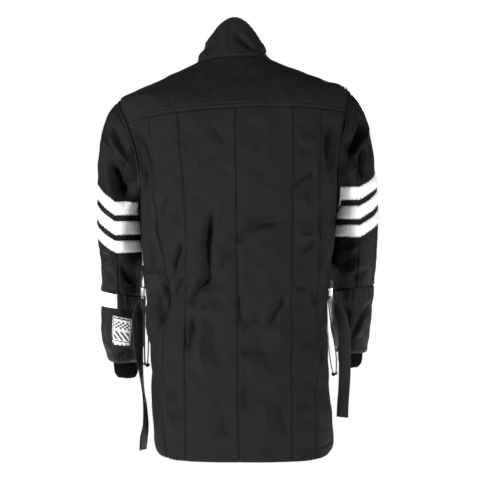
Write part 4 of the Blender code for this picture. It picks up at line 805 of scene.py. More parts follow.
def collar_form(angle, height):
    """The collar's outer surface; height is 0 at the seam and 1 at the top edge."""
    angle, height = np.broadcast_arrays(np.asarray(angle, float), np.asarray(height, float))
    base = body_form(angle, NECK_LEVEL)
    cosine = np.cos(np.radians(angle))
    sine = np.sin(np.radians(angle))
    crown = np.where(
        cosine > 0,
        (COLLAR_TOP_BACK - COLLAR_TOP_SIDE) * np.abs(cosine) ** COLLAR_PEAK,
        (COLLAR_TOP_FRONT - COLLAR_TOP_SIDE) * np.abs(cosine),
    )
    top = np.stack(
        [
            COLLAR_TOP_CENTRE + COLLAR_TOP_HALF_WIDTH * sine,
            COLLAR_TOP_DEPTH * cosine,
            COLLAR_TOP_SIDE + crown,
        ],
        axis=-1,
    )
    lean = (1 - height)[..., None] ** COLLAR_LEAN
    point = top + (base - top) * lean
    point[..., 2] = base[..., 2] + (top[..., 2] - base[..., 2]) * height
    near = np.exp(-(((angle - COLLAR_BULGE_ANGLE) / COLLAR_BULGE_WIDTH) ** 2))
    rise = np.exp(-(((height - COLLAR_BULGE_HEIGHT) / COLLAR_BULGE_RISE) ** 2))
    point[..., 0] += COLLAR_BULGE * near * rise * (1 - lean[..., 0])
    return point


def collar_normal(angle, height):
    """Unit normals of the collar, turned to the body's at the neck seam."""
    turn, rise = COLLAR_NORMAL_STEPS
    angle = np.asarray(angle, float)
    height = np.asarray(height, float)
    up = collar_form(angle, np.minimum(height + rise, 1)) - collar_form(angle, np.maximum(height - rise, 0))
    around = collar_form(angle + turn, height) - collar_form(angle - turn, height)
    body = surface_normal(body_form, angle, np.full_like(angle, NECK_LEVEL - 0.001))
    share = (1 - ramp(height, 0, COLLAR_BLEND))[..., None]
    return unit(unit(np.cross(up, around)) + body * share)


# Folds and drape


def in_picture(points):
    """Where points lie in the photograph, in its pixels."""
    scale = PIXEL * (CAMERA_PLACE[1] - points[..., 1]) / CAMERA_PLACE[1]
    across = PICTURE_MIDDLE - (points[..., 0] - CAMERA_PLACE[0]) / scale
    down = PICTURE_MIDDLE - (points[..., 2] - CAMERA_PLACE[2]) / scale
    return across, down


def seen_folds():
    """The folds that show, with their paths taken from the photograph to the cloth."""
    folds = {}
    for place, rows in FOLDS_SEEN.items():
        if place == "back":
            first, second = np.meshgrid(SEEN_ANGLES, SEEN_LEVELS)
            points = body_form(first, second)
            first = points[..., 0]
        else:
            first, second = np.meshgrid(SEEN_TURNS, SEEN_SECTIONS)
            points = sleeve_form(place, first, second)
        across, down = in_picture(points)
        folds[place] = []
        for depth, width, lean, path in rows:
            spots = [np.hypot(across - x, down - y).argmin() for x, y in path]
            path = [(first.flat[spot], second.flat[spot]) for spot in spots]
            folds[place].append((depth, width, lean, path))
    return folds


def fold_paths():
    """Every fold as its depth, width, lean, path in space and the normals along it."""
    lines = []
    for place, rows in list(seen_folds().items()) + list(FOLDS_HIDDEN.items()):
        for depth, width, lean, path in rows:
            first, second = finer(np.array(path, float), FOLD_STEPS).T
            if place in ("back", "front"):
                angle = body_angle(first, second)
                if place == "front":
                    angle = np.sign(angle) * 180 - angle
                points = body_form(angle, second)
                normals = surface_normal(body_form, angle, second)
            elif place == "collar":
                points, normals = collar_form(first, second), collar_normal(first, second)
            else:
                points = sleeve_form(place, first, second)
                normals = sleeve_normal(place, first, second)
            length = np.linalg.norm(np.diff(points, axis=0), axis=1).sum()
            depth = FOLD_GAIN * depth * ramp(length, 0, FOLD_FULL_LENGTH)
            lines.append((place, depth, width, lean, points, normals))
    return lines


FOLD_PATHS = fold_paths()


def waves(points, rows):
    return sum(size * np.sin(points @ np.array(run, float) + start) for size, run, start in rows)


def drape(points):
    """Slow swells of the cloth between its folds."""
    drift, slide = waves(points, DRIFT_WAVES), waves(points, SLIDE_WAVES)
    swell = np.zeros(len(points))
    for share, bend, first, second in SWELLS:
        factor = np.sin(points @ np.array(first, float) + bend * drift)
        swell += share * factor * np.sin(points @ np.array(second, float) + bend * slide)
    return DRAPE * swell


def fold_height(points, places):
    """How far the folds of these places lift the cloth at each point."""
    flat = points.reshape(-1, 3)
    height = drape(flat)
    for place, depth, width, lean, path, normals in FOLD_PATHS:
        if place not in places:
            continue
        low, high = path.min(axis=0) - 3 * width, path.max(axis=0) + 3 * width
        near = np.nonzero(((flat > low) & (flat < high)).all(axis=1))[0]
        if not len(near):
            continue
        spots = flat[near]
        nearest = np.full(len(near), np.inf)
        reached = np.zeros(len(near))
        right = np.ones(len(near))
        for index, (start, end) in enumerate(zip(path, path[1:])):
            run = end - start
            part = np.clip((spots - start) @ run / (run @ run), 0, 1)
            off = spots - start - part[:, None] * run
            away = np.linalg.norm(off, axis=1)
            closer = away < nearest
            nearest = np.where(closer, away, nearest)
            reached = np.where(closer, (index + part) / (len(path) - 1), reached)
            right = np.where(closer, np.sign(off @ np.cross(run, normals[index])), right)
        taper = ramp(reached, 0, FOLD_TAPER) * ramp(1 - reached, 0, FOLD_TAPER)
        reach = width * (1 - lean * right)
        height[near] += depth * taper * np.exp(-((nearest / reach) ** FOLD_SHARPNESS))
    return height.reshape(points.shape[:-1])


def body_folds(angle, level, points):
    """The body's folds, calmed at the armholes, the zip, the neck and the side adjusters."""
    away = armhole_place(angle, level)[0]
    calm = ramp(np.abs(away), 0, ARMHOLE_CALM) * ramp(NECK_LEVEL - level, 0, NECK_CALM)
    from_zip = np.abs(points[..., 0] - through(BODY_TABLE["level"], BODY_TABLE["centre"], level))
    calm = calm * np.where(points[..., 1] < 0, ramp(from_zip, *ZIP_CALM), 1)
    for sign in (1, -1):
        for adjuster in (ANCHOR_ANGLE, TAB_ANGLE):
            spot = body_form(sign * adjuster, ADJUSTER_LEVEL)
            calm = calm * ramp(np.linalg.norm(points - spot, axis=-1), *ADJUSTER_CALM)
    return fold_height(points, ("back", "front")) * calm


def sleeve_folds(side, turn, section, points):
    """A sleeve's folds, calmed at the armhole."""
    return fold_height(points, (side,)) * ramp(section, 0, SLEEVE_CALM)


# Grids


def arc(points, axis):
    """Length along an axis of a grid of points, from its first row or column."""
    steps = np.linalg.norm(np.diff(points, axis=axis), axis=-1)
    start = np.zeros_like(np.take(steps, [0], axis=axis))
    return np.concatenate([start, np.cumsum(steps, axis=axis)], axis=axis)


def marks(length, start, end, step):
    """Distances along lines of these lengths, given at both ends and even between."""
    length = np.atleast_1d(np.asarray(length, float))[:, None]
    start, end = np.array(start), np.array(end)
    least = start[-1] + end[-1] + 2 * step
    squeeze = np.minimum(1, length / least)
    middle = length - squeeze * (start[-1] + end[-1])
    count = max(2, round(float(middle.max()) / step))
    inner = start[-1] * squeeze + middle * np.arange(1, count) / count
    return np.concatenate([start * squeeze, inner, length - (end * squeeze)[:, ::-1]], axis=1)


def spaced(form, first, last, start=BORDER_MARKS, end=BORDER_MARKS, step=MESH_STEP):
    """Values from first to last for each line of the form, at the marks along it."""
    first, last = (np.atleast_1d(np.asarray(edge, float))[:, None] for edge in (first, last))
    dense = np.linspace(0, 1, LINE_SAMPLES)
    lengths = arc(form(first + (last - first) * dense), 1)
    wanted = marks(lengths[:, -1], start, end, step)
    part = np.stack([np.interp(want, along, dense) for want, along in zip(wanted, lengths)])
    return first + (last - first) * part


# Shaders


class Value:
    """A shader socket that takes Python's arithmetic."""

    def __init__(self, shader, socket):
        self.shader = shader
        self.socket = socket

    def maths(self, operation, *others):
        return self.shader.node("ShaderNodeMath", {"operation": operation}, [self, *others])

    def __add__(self, other):
        return self.maths("ADD", other)

    __radd__ = __add__

    def __mul__(self, other):
        return self.maths("MULTIPLY", other)

    __rmul__ = __mul__

    def __sub__(self, other):
        return self.maths("SUBTRACT", other)

    def __rsub__(self, other):
        return self.maths("MULTIPLY", -1.0) + other

    def __truediv__(self, other):
        return self.maths("DIVIDE", other)

    def __pow__(self, other):
        return self.maths("POWER", other)

    def __gt__(self, other):
        return self.maths("GREATER_THAN", other)

    def __lt__(self, other):
        return self.maths("LESS_THAN", other)

    def sine(self):
        return self.maths("SINE")

    def size(self):
        return self.maths("ABSOLUTE")


class Nodes:
    """A node tree with one way to add nodes."""

    def __init__(self, tree):
        self.tree = tree

    def node(self, kind, settings=None, inputs=(), output=0):
        made = self.tree.nodes.new(kind)
        for name, value in (settings or {}).items():
            setattr(made, name, value)
        pairs = inputs.items() if isinstance(inputs, dict) else enumerate(inputs)
        for socket, value in pairs:
            self.join(made.inputs[socket], value)
        return Value(self, made.outputs[output])

    def join(self, socket, value):
        if isinstance(value, Value):
            self.tree.links.new(value.socket, socket)
        else:
            socket.default_value = value


class Shader(Nodes):
    """A material with its Principled node."""

    def __init__(self, name, **constants):
        self.material = bpy.data.materials.new(name)
        self.material.use_nodes = True
        super().__init__(self.material.node_tree)
        self.principled = self.tree.nodes["Principled BSDF"]
        for socket, value in constants.items():
            self.feed(socket.replace("_", " "), value)

    def feed(self, socket, value):
        self.join(self.principled.inputs[socket], value)

    def uv(self):
        """Distances across and along the cloth, in metres."""
        vector = self.node("ShaderNodeUVMap", {"uv_map": "UVMap"})
        parts = self.node("ShaderNodeSeparateXYZ", inputs=[vector])
        return parts, Value(self, parts.socket.node.outputs[1])

    def noise(self, scale, detail=3.0):
        place = self.node("ShaderNodeTexCoord", output=3)
        inputs = {"Vector": place, "Scale": scale, "Detail": detail}
        return self.node("ShaderNodeTexNoise", inputs=inputs)

    def blend(self, factor, first, second):
        settings = {"data_type": "RGBA"}
        inputs = {0: factor, 6: (*first, 1.0), 7: (*second, 1.0)}
        return self.node("ShaderNodeMix", settings, inputs, output=2)

    def bump(self, height, distance):
        inputs = {"Height": height, "Distance": distance, "Strength": 1.0}
        self.feed("Normal", self.node("ShaderNodeBump", inputs=inputs))


def ripples(distance, pitch):
    """A sine wave that repeats at each pitch."""
    return (distance * (2 * math.pi / pitch)).sine()


def woven(name, dark, light, roughness, pitch, depth, wrinkle=0.0):
    """A twill: diagonal ribs, with a little unevenness of colour and roughness."""
    shader = Shader(name, Specular_IOR_Level=0.06)
    across, along = shader.uv()
    ribs = ripples(across + along, pitch)
    threads = ripples(across - along * 0.6, pitch * 0.55)
    patchy = shader.noise(14.0)
    shader.feed("Base Color", shader.blend(patchy, dark, light))
    shader.feed("Roughness", patchy * 0.12 + (roughness - 0.06))
    weave = (ribs * 0.7 + threads * 0.3 + shader.noise(900.0, 2.0) * 1.2) * depth
    creases = (shader.noise(26.0, 2.0) - 0.5).size() ** 0.7 + shader.noise(60.0, 2.0) * 0.35
    shader.bump(weave + creases * wrinkle, 1.0)
    return shader.material


def knitted(name, dark, light, roughness, stitch=0.0016, row=0.0014):
    """A rib knit: small slanted loops up each rib, darker between the loops as painted shade, with random
    fuzz in its tone.
    """
    shader = Shader(name, Specular_IOR_Level=0.03)
    across, along = shader.uv()
    leg = ripples(across, stitch).size()
    loops = ripples(along + leg * 0.0006, row)
    fuzz = shader.noise(700.0)
    # Painted shade: the colour is darker where the loops dip, as the bump sinks there; the fuzz is random
    # tone.
    shader.feed("Base Color", shader.blend(loops * 0.3 + fuzz * 0.7, dark, light))
    shader.feed("Roughness", fuzz * 0.1 + (roughness - 0.05))
    shader.bump(loops * 0.6 + leg + fuzz * 0.5, 0.0003)
    return shader.material


def webbed(name, dark, light, roughness, rib=0.0032, weft_pitch=0.0015):
    """Webbing: lengthwise ribs crossed by the weft, its colour darker in the grooves between them as
    painted shade.
    """
    shader = Shader(name, Specular_IOR_Level=0.4, Sheen_Weight=0.05, Sheen_Roughness=0.4)
    across, along = shader.uv()
    ribs = ripples(across, rib).size()
    weft = ripples(along + ribs * 0.0008, weft_pitch)
    # Painted shade: the colour follows the ribs and weft, dark in the low grooves and light on the threads
    # that the bump raises.
    shader.feed("Base Color", shader.blend(ribs * 0.5 + weft * 0.25, dark, light))
    shader.feed("Roughness", weft * 0.06 + roughness)
    shader.bump(ribs + weft * 0.5, 0.0003)
    return shader.material


def metal(name, colour, roughness):
    shader = Shader(name, Base_Color=(*colour, 1.0), Metallic=1.0)
    wear = shader.noise(120.0)
    shader.feed("Roughness", wear * 0.14 + roughness)
    return shader.material


def label(name, paper=(0.84, 0.84, 0.85), ink=(0.016, 0.016, 0.018)):
    """A white label with a black frame, a chequered strip and slanted bars."""
    shader = Shader(name, Roughness=0.6, Specular_IOR_Level=0.3)
    across, along = shader.uv()
    down = along - LABEL_LENGTH / 2
    edge = (across.size() / (LABEL_WIDTH / 2)).maths("MAXIMUM", down.size() / (LABEL_LENGTH / 2))
    frame = (edge > LABEL_FRAME[0]) * (edge < LABEL_FRAME[1])
    checks = (ripples(across, 2 * LABEL_SQUARE) * ripples(down, 2 * LABEL_SQUARE)) > 0.0
    top = (down < LABEL_SQUARE * LABEL_CHECKS[1]) * (down > LABEL_SQUARE * LABEL_CHECKS[0])
    bars = ripples(across + down * LABEL_BAR_SLANT, 2 * LABEL_SQUARE * LABEL_BAR_PITCH) > LABEL_BAR_GAP
    low = down > LABEL_SQUARE * LABEL_BARS_FROM
    marked = (checks * top + bars * low) * (edge < LABEL_INSIDE) + frame
    shader.feed("Base Color", shader.blend(marked.maths("MINIMUM", 1.0), paper, ink))
    return shader.material


TWILL = woven(
    "black_twill", dark=(0.0105, 0.0105, 0.0100), light=(0.0155, 0.0155, 0.0148),
    roughness=0.50, pitch=0.0012, depth=0.00012, wrinkle=0.0030,
)
SLEEVE = woven(
    "black_sleeve_cloth", dark=(0.0085, 0.0085, 0.0088), light=(0.0120, 0.0120, 0.0123),
    roughness=0.42, pitch=0.0010, depth=0.00009, wrinkle=0.0024,
)
LABEL = label("label_cloth")
WHITE = woven(
    "white_cloth", dark=(0.80, 0.80, 0.81), light=(0.86, 0.86, 0.87),
    roughness=0.75, pitch=0.0010, depth=0.00006,
)
THREAD_LOOK = woven(
    "black_thread", dark=(0.020, 0.020, 0.020), light=(0.032, 0.032, 0.031),
    roughness=0.50, pitch=0.0006, depth=0.00005,
)
KNIT = knitted("black_rib_knit", (0.0026, 0.0026, 0.0031), (0.0052, 0.0052, 0.0062), roughness=0.85)
WEBBING = webbed("black_webbing", (0.018, 0.018, 0.018), (0.040, 0.040, 0.039), roughness=0.55)
TAPE = woven(
    "black_zip_tape", dark=(0.012, 0.012, 0.012), light=(0.020, 0.020, 0.020),
    roughness=0.70, pitch=0.0008, depth=0.00010,
)
CHROME = metal("bright_metal", (0.82, 0.82, 0.83), roughness=0.14)


# Meshes


def finished(name, bm, material, node_names, sharp=SHARP_ANGLE, body="jacket"):
    """The object of a mesh, riding on its body and standing for its CAD nodes."""
    bmesh.ops.recalc_face_normals(bm, faces=bm.faces)
    mesh = bpy.data.meshes.new(name)
    bm.to_mesh(mesh)
    bm.free()
    mesh.materials.append(material)
    mesh.shade_smooth()
    mesh.set_sharp_from_angle(angle=math.radians(sharp))
    obj = bpy.data.objects.new(name, mesh)
    bpy.context.scene.collection.objects.link(obj)
    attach(obj, body)
    if node_names:
        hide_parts(*node_names)
    return obj


def grid_mesh(outer, inner, ring, uv):
    """A closed wall between two grids of points, with UVs in metres."""
    rows, columns = outer.shape[:2]
    bm = bmesh.new()
    row_of = bm.verts.layers.int.new("row")
    column_of = bm.verts.layers.int.new("column")
    bmesh.ops.create_grid(bm, x_segments=columns - 1, y_segments=rows - 1, size=0.5)
    for vert in bm.verts:
        row = round((vert.co.y + 0.5) * (rows - 1))
        column = round((vert.co.x + 0.5) * (columns - 1))
        vert[row_of] = row
        vert[column_of] = column
        vert.co = inner[row][column]
    layer = bm.loops.layers.uv.new("UVMap")
    for face in bm.faces:
        for loop in face.loops:
            spot = loop.vert
            loop[layer].uv = uv[spot[row_of]][spot[column_of]]
    if ring:
        seam = [v for v in bm.verts if v[column_of] in (0, columns - 1)]
        bmesh.ops.remove_doubles(bm, verts=seam, dist=1e-6)
    skin = bmesh.ops.extrude_face_region(bm, geom=bm.faces[:])["geom"]
    for vert in (item for item in skin if isinstance(item, bmesh.types.BMVert)):
        vert.co = outer[vert[row_of]][vert[column_of]]
    return bm


STITCHES = []
BORDERS = ("left", "right", "top", "bottom")


def add_stitches(path, normals):
    """Keeps a row of stitches along a path for the thread's mesh."""
    length = arc(path, 0)
    count = int(length[-1] / STITCH_PITCH)
    if count < 2:
        return
    middles = (np.arange(count) + 0.5) * length[-1] / count
    starts = sample(middles - STITCH_LENGTH / 2, length, path)
    ends = sample(middles + STITCH_LENGTH / 2, length, path)
    STITCHES.append((starts, ends, unit(sample(middles, length, normals))))


def seam_relief(distance, along, marks):
    """The lift of a sewn edge: its grooves, the fold of cloth under it and small puckers."""
    lift = np.zeros(distance.shape)
    for mark in marks:
        lift = lift - STITCH_GROOVE * np.exp(-(((distance - mark) / STITCH_GROOVE_WIDTH) ** 2))
    if marks and max(marks) > EDGE_STITCH:
        lift = lift + FELL_LIFT * (1 - ramp(distance, *(max(marks) + edge for edge in FELL_EDGE)))
    if marks:
        beat = np.sin(2 * np.pi * along / PUCKER_PITCH + 2.5 * np.sin(31 * along))
        uneven = 0.6 + 0.4 * np.sin(57 * along + 1.0) * np.sin(23 * along)
        lift = lift + PUCKER * beat * uneven * np.exp(-((distance / PUCKER_REACH) ** 2))
    return lift


def add_cloth(name, points, normals, material, slot, cloth=CLOTH, ring=False, stitches=None,
              lift=0.0, held="hung", roll=SEAM_ROLL):
    """A cut piece: its folds raised, its borders rolled in at the seams, and its stitching."""
    across, along = arc(points, 1), arc(points, 0)
    height = np.zeros(points.shape[:2]) + lift
    borders = {"bottom": (along, across), "top": (along[-1:] - along, across)}
    if not ring:
        borders["left"] = (across, along)
        borders["right"] = (across[:, -1:] - across, along)
    stitches = stitches or {}
    for border, (distance, beside) in borders.items():
        height = height - roll * np.exp(-((distance / SEAM_ROLL_WIDTH) ** 2))
        height = height + seam_relief(distance, beside, stitches.get(border, ()))
    outer = points + normals * height[..., None]
    inner = outer - normals * cloth
    for border, marks_here in stitches.items():
        lines = (outer, normals, borders[border][0])
        if border in ("bottom", "top"):
            lines = tuple(np.swapaxes(line, 0, 1) for line in lines)
        for mark in marks_here:
            path, up = [], []
            for row, row_up, row_away in zip(*lines):
                order = np.argsort(row_away)
                path.append(sample(mark, row_away[order], row[order]))
                up.append(sample(mark, row_away[order], row_up[order]))
            add_stitches(np.array(path), np.array(up))
    uv = np.stack([across - across[:, -1:] / 2, along], axis=-1)
    obj = finished(name, grid_mesh(outer, inner, ring, uv), material, [name[: -len("_cloth")]])
    return obj


# Body


def seam_angle(seam, level):
    return body_angle(through(SEAM_TABLE["level"], SEAM_TABLE[seam], level), level)


def arm_edge(level, towards_front):
    """The angle where a row meets the armhole, or the side seam below it."""
    part = np.clip((level - ARM_MIDDLE) / ARM_HALF, -1, 1)
    width = ARM_HALF_ANGLE * np.sqrt(np.clip(1 - part**2, 0, 1))
    return ARM_ANGLE + (width if towards_front else -width)


def body_levels():
    """Levels of the rows from the hem up to the yoke seam."""
    top = armhole(float(YOKE_TURN))[1]
    levels = spaced(lambda level: body_form(0.0, level), HEM_LEVEL, top, HEM_MARKS)[0]
    corner = armhole(np.arange(*CORNER_TURNS))[1]
    keep = levels[np.abs(levels[:, None] - corner).min(axis=1) > CORNER_CLEARANCE]
    return np.sort(np.concatenate([keep, corner]))


def between(levels, left_edge, right_edge, step=MESH_STEP):
    """Angles of a grid between two edges that are given for each level."""
    return spaced(lambda angle: body_form(angle, levels[:, None]), left_edge, right_edge, step=step)


def add_body_piece(name, angle, level, stitches):
    points = body_form(angle, level)
    add_cloth(
        name + "_cloth", points, body_normal(angle, level), TWILL, "black_twill", stitches=stitches,
        lift=body_folds(angle, level, points),
    )


def add_back():
    levels = body_levels()
    seams = {name: seam_angle(name, levels) for name in SEAM_COLUMNS[1:]}
    side = arm_edge(levels, towards_front=False)
    hem, edge, fell = (HEM_STITCH,), (EDGE_STITCH,), (EDGE_STITCH, FELL_STITCH)
    pieces = (
        ("back_centre_left", seams["centre"], seams["inner_left"], {"left": edge, "right": edge}),
        ("back_mid_left", seams["inner_left"], seams["outer_left"], {"left": edge}),
        ("back_side_left", seams["outer_left"], side, {"left": fell}),
        ("back_centre_right", seams["inner_right"], seams["centre"], {"left": edge}),
        ("back_mid_right", seams["outer_right"], seams["inner_right"], {"right": edge}),
        ("back_side_right", -side, seams["outer_right"], {"right": fell}),
    )
    for name, left_edge, right_edge, stitches in pieces:
        angle = between(levels, left_edge, right_edge)
        level = np.broadcast_to(levels[:, None], angle.shape)
        add_body_piece(name, angle, level, stitches | {"bottom": hem})


def add_yoke():
    seam_level = armhole(float(YOKE_TURN))[1]
    end = float(armhole(180.0 - YOKE_TURN)[0])
    back = between(np.array([seam_level]), -end, end)[0]
    arch_angle, arch_level = armhole(np.arange(YOKE_TURN, 180.1 - YOKE_TURN, YOKE_ARCH_STEP))
    order = np.argsort(arch_angle)
    arch_angle, arch_level = arch_angle[order], arch_level[order]
    angle = np.concatenate([-arch_angle[::-1], back[1:-1], arch_angle])
    bottom = np.concatenate([arch_level[::-1], np.full(len(back) - 2, seam_level), arch_level])
    level = spaced(
        lambda level: body_form(angle[:, None], level), bottom, np.full_like(bottom, NECK_LEVEL)
    ).T
    angle = np.broadcast_to(angle, level.shape)
    add_body_piece("back_yoke", angle, level, {"bottom": (EDGE_STITCH, FELL_STITCH)})


def zip_edge(level, half_opening):
    half_width = through(BODY_TABLE["level"], BODY_TABLE["half_width"], level)
    return 180 - np.degrees(np.arcsin((half_opening / half_width) ** (SQUARENESS / 2)))


def add_fronts():
    levels = body_levels()
    corner, seam_level = (float(value) for value in armhole(float(YOKE_TURN)))
    above = np.linspace(seam_level, NECK_LEVEL, SHOULDER_ROWS)[1:]
    levels = np.concatenate([levels, above])
    side = np.where(levels < seam_level, arm_edge(levels, towards_front=True), corner)
    middle = zip_edge(levels, ZIP_HALF_OPENING)
    for name, sign in (("front_left", 1), ("front_right", -1)):
        angle = between(levels, sign * side, sign * middle, FRONT_STEP)
        level = np.broadcast_to(levels[:, None], angle.shape)
        add_body_piece(name, angle, level, {"bottom": (HEM_STITCH,), "right": (FELL_STITCH,)})


def add_collar():
    edge = float(zip_edge(np.array([NECK_LEVEL]), ZIP_HALF_OPENING)[0])
    heights = spaced(lambda height: collar_form(0.0, height), 0.0, 1.0)[0]
    ends = np.full(len(heights), edge)
    angle = spaced(lambda angle: collar_form(angle, heights[:, None]), -ends, ends)
    height = np.broadcast_to(heights[:, None], angle.shape)
    stitches = {border: (COLLAR_STITCH,) for border in ("top", "left", "right")}
    points = collar_form(angle, height)
    add_cloth(
        "collar_cloth", points, collar_normal(angle, height), TWILL, "black_twill", COLLAR_CLOTH,
        stitches=stitches | {"bottom": (EDGE_STITCH,)},
        lift=fold_height(points, ("collar",)) * ramp(height, 0, COLLAR_CALM),
    )
    columns, rows = COLLAR_TAB_GRID
    across = 180 + COLLAR_TAB_HALF_ANGLE * np.linspace(-1, 1, columns)
    angle, height = np.meshgrid(across, np.linspace(*COLLAR_TAB_HEIGHTS, rows))
    add_cloth(
        "collar_tab_cloth", collar_form(angle, height), collar_normal(angle, height), TWILL, "black_twill",
        stitches={border: (COLLAR_TAB_STITCH,) for border in BORDERS}, lift=COLLAR_TAB_GAP + CLOTH,
        roll=APPLIQUE_ROLL,
    )


# Sleeves


def sleeve_wall_normals(side, turn, section):
    """Unit normals of the sleeve, turned to the shared direction at the armhole."""
    normals = sleeve_normal(side, turn, section)
    share = (1 - ramp(section, 0, SLEEVE_BLEND_SECTIONS))[..., None]
    seamed = unit(normals * (1 - share) + armhole_normal(side, turn) * share)
    return np.where((section < SLEEVE_BLEND_SECTIONS)[..., None], seamed, normals)


def sleeve_grid(side, turns, first, last, start=BORDER_MARKS, end=BORDER_MARKS):
    """Sections of a grid between two edges that are given for each turn."""
    edges = (np.broadcast_to(edge, turns.shape) for edge in (first, last))
    return spaced(lambda section: sleeve_form(side, turns[:, None], section), *edges, start, end).T


def even_turns(side, first, last, section, step=MESH_STEP):
    return spaced(lambda turn: sleeve_form(side, turn, section), first, last, step=step)[0]


def add_sleeve_piece(name, side, turn, section, lift, material, slot, cloth=CLOTH, gap=0.0, **settings):
    """A piece of a sleeve's surface, lifted by its folds or ribs and by a gap."""
    turn = np.broadcast_to(turn, section.shape)
    points = sleeve_form(side, turn, section)
    add_cloth(
        name + "_cloth", points, sleeve_wall_normals(side, turn, section), material, slot, cloth,
        lift=lift(side, turn, section, points) + gap, **settings,
    )


def add_sleeve(side):
    spans = (
        ("sleeve_outer_", SLEEVE_FRONT_TURN, SLEEVE_BACK_TURN, {"right": (EDGE_STITCH, FELL_STITCH)}),
        ("sleeve_under_", SLEEVE_BACK_TURN, SLEEVE_FRONT_TURN + 360, {}),
    )
    for kind, first, last, stitches in spans:
        turns = even_turns(side, first, last, STRIPE_SECTION)
        section = sleeve_grid(side, turns, 0.0, float(ELBOW_SECTION))
        stitches = stitches | {"bottom": (EDGE_STITCH, FELL_STITCH), "top": (EDGE_STITCH,)}
        add_sleeve_piece(
            kind + side, side, turns, section, sleeve_folds, SLEEVE, "black_sleeve_cloth", stitches=stitches
        )
    add_stripes(side)


def stripe_sections(side, turns):
    """The sections where a sleeve's six stripe edges lie at each turn."""
    knots = np.linspace(0, ELBOW_SECTION, STRIPE_SAMPLES)
    outer = np.clip(np.sin(np.radians(turns)), 0, 1)
    climb = 2 / np.pi * np.arcsin(outer)
    rows = []
    for index in range(len(STRIPE_EDGES)):
        edge = STRIPE_TABLE["edge_" + side][index]
        target = edge + STRIPE_TABLE["rise_" + side][index] * climb
        found = []
        for turn, height in zip(turns, target):
            heights = sleeve_form(side, np.full_like(knots, turn), knots)[:, 2]
            top = heights[0] - STRIPE_CLEAR_OF_ARMHOLE * (1 + index)
            found.append(np.interp(-min(height, top), -heights, knots))
        rows.append(found)
    return np.array(rows)


def add_stripes(side):
    turns = np.unique(np.concatenate([
        even_turns(side, SLEEVE_FRONT_TURN, SLEEVE_BACK_TURN, STRIPE_SECTION),
        even_turns(side, SLEEVE_BACK_TURN, SLEEVE_FRONT_TURN + 360, STRIPE_SECTION),
    ]))
    stripes = stripe_sections(side, turns)
    dip = STRIPE_SEAM_DIP * np.exp(-(((turns - SLEEVE_BACK_TURN) / STRIPE_SEAM_WIDTH) ** 2))
    for index in range(3):
        first, last = stripes[2 * index], stripes[2 * index + 1]
        section = sleeve_grid(side, turns, first, last, FINE_BORDER_MARKS, FINE_BORDER_MARKS)
        add_sleeve_piece(
            f"sleeve_stripe_{side}_{index + 1}", side, turns, section, sleeve_folds, WHITE, "white_cloth",
            APPLIQUE, gap=SKIN_GAP + APPLIQUE - dip, ring=True, roll=STRIPE_ROLL,
            stitches={"bottom": (STRIPE_STITCH,), "top": (STRIPE_STITCH,)},
        )


def patch_calm(turn, section):
    """0 under the label place of the left forearm, where the cloth is flat, and 1 away from it."""
    turn_margin, section_margin = PATCH_CALM_MARGIN
    turn_reach, section_reach = PATCH_CALM_REACH
    first, last = PATCH_TURNS[1] - turn_margin, PATCH_TURNS[0] + turn_margin
    top, bottom = PATCH_SECTIONS[0] - section_margin, PATCH_SECTIONS[1] + section_margin
    out_of_turn = np.maximum(first - turn, turn - last) / turn_reach
    out_of_section = np.maximum(top - section, section - bottom) / section_reach
    return ramp(np.maximum(out_of_turn, out_of_section), 0, 1)


def beats(turn, count, start=0):
    """A sine wave with this many beats round the sleeve."""
    return np.sin(np.radians(count * turn + start))


def gather(turn, section):
    """How far the gathers under the elbow seam and above the cuff lift the cloth."""
    elbow = np.clip(1 - (section - ELBOW_SECTION) / GATHER_ELBOW_REACH, 0, 1)
    wrist = np.clip(1 - (CUFF_SECTION - section) / GATHER_WRIST_REACH, 0, 1)
    under = GATHER_LEAST + (1 - GATHER_LEAST) * (0.5 - 0.5 * beats(turn, 1))
    strength = GATHER_DEPTH * (elbow * under + GATHER_AT_WRIST * wrist)
    uneven = 1 - GATHER_UNEVEN + GATHER_UNEVEN * beats(turn, 5, 40) * beats(turn, 3)
    slide = 7 * beats(turn, 4, 20) + 5 * beats(turn, 7)
    return strength * uneven * beats(turn, GATHERS, 90 + slide * GATHER_SLIDE)


def forearm_lift(side, turn, section, points):
    """The folds and gathers of a forearm, and its swell above the cuff."""
    calm = patch_calm(turn, section) if side == "left" else 1.0
    above = (CUFF_SECTION - WRIST_BULGE_ABOVE_CUFF - section) / WRIST_BULGE_REACH
    bulge = WRIST_BULGE * np.exp(-(above**2))
    return bulge + calm * (gather(turn, section) + sleeve_folds(side, turn, section, points))


def rib_lift(side, turn, section, points):
    """The ribs of a cuff, drawn in at its end."""
    ribs = RIB_HEIGHT * (0.5 + 0.5 * np.cos(np.radians(RIBS * turn)))
    return ribs - CUFF_TAPER * ramp(section, LAST_SECTION - CUFF_TAPER_SECTIONS, LAST_SECTION) ** 2


def add_forearm(side):
    turns = even_turns(side, SLEEVE_FRONT_TURN, SLEEVE_FRONT_TURN + 360, FOREARM_SECTION, FOREARM_STEP)
    section = sleeve_grid(side, turns, ELBOW_SECTION, CUFF_SECTION)
    add_sleeve_piece(
        "forearm_" + side, side, turns, section, forearm_lift, SLEEVE, "black_sleeve_cloth",
        ring=True, held="gathered",
    )
    turns = np.linspace(0, 360, RIBS * RIB_COLUMNS + 1)
    section = sleeve_grid(side, turns, CUFF_SECTION, LAST_SECTION, FINE_BORDER_MARKS, FINE_BORDER_MARKS)
    add_sleeve_piece(
        "cuff_" + side, side, turns, section, rib_lift, KNIT, "black_rib_knit", CUFF_CLOTH,
        ring=True, held="gathered",
    )


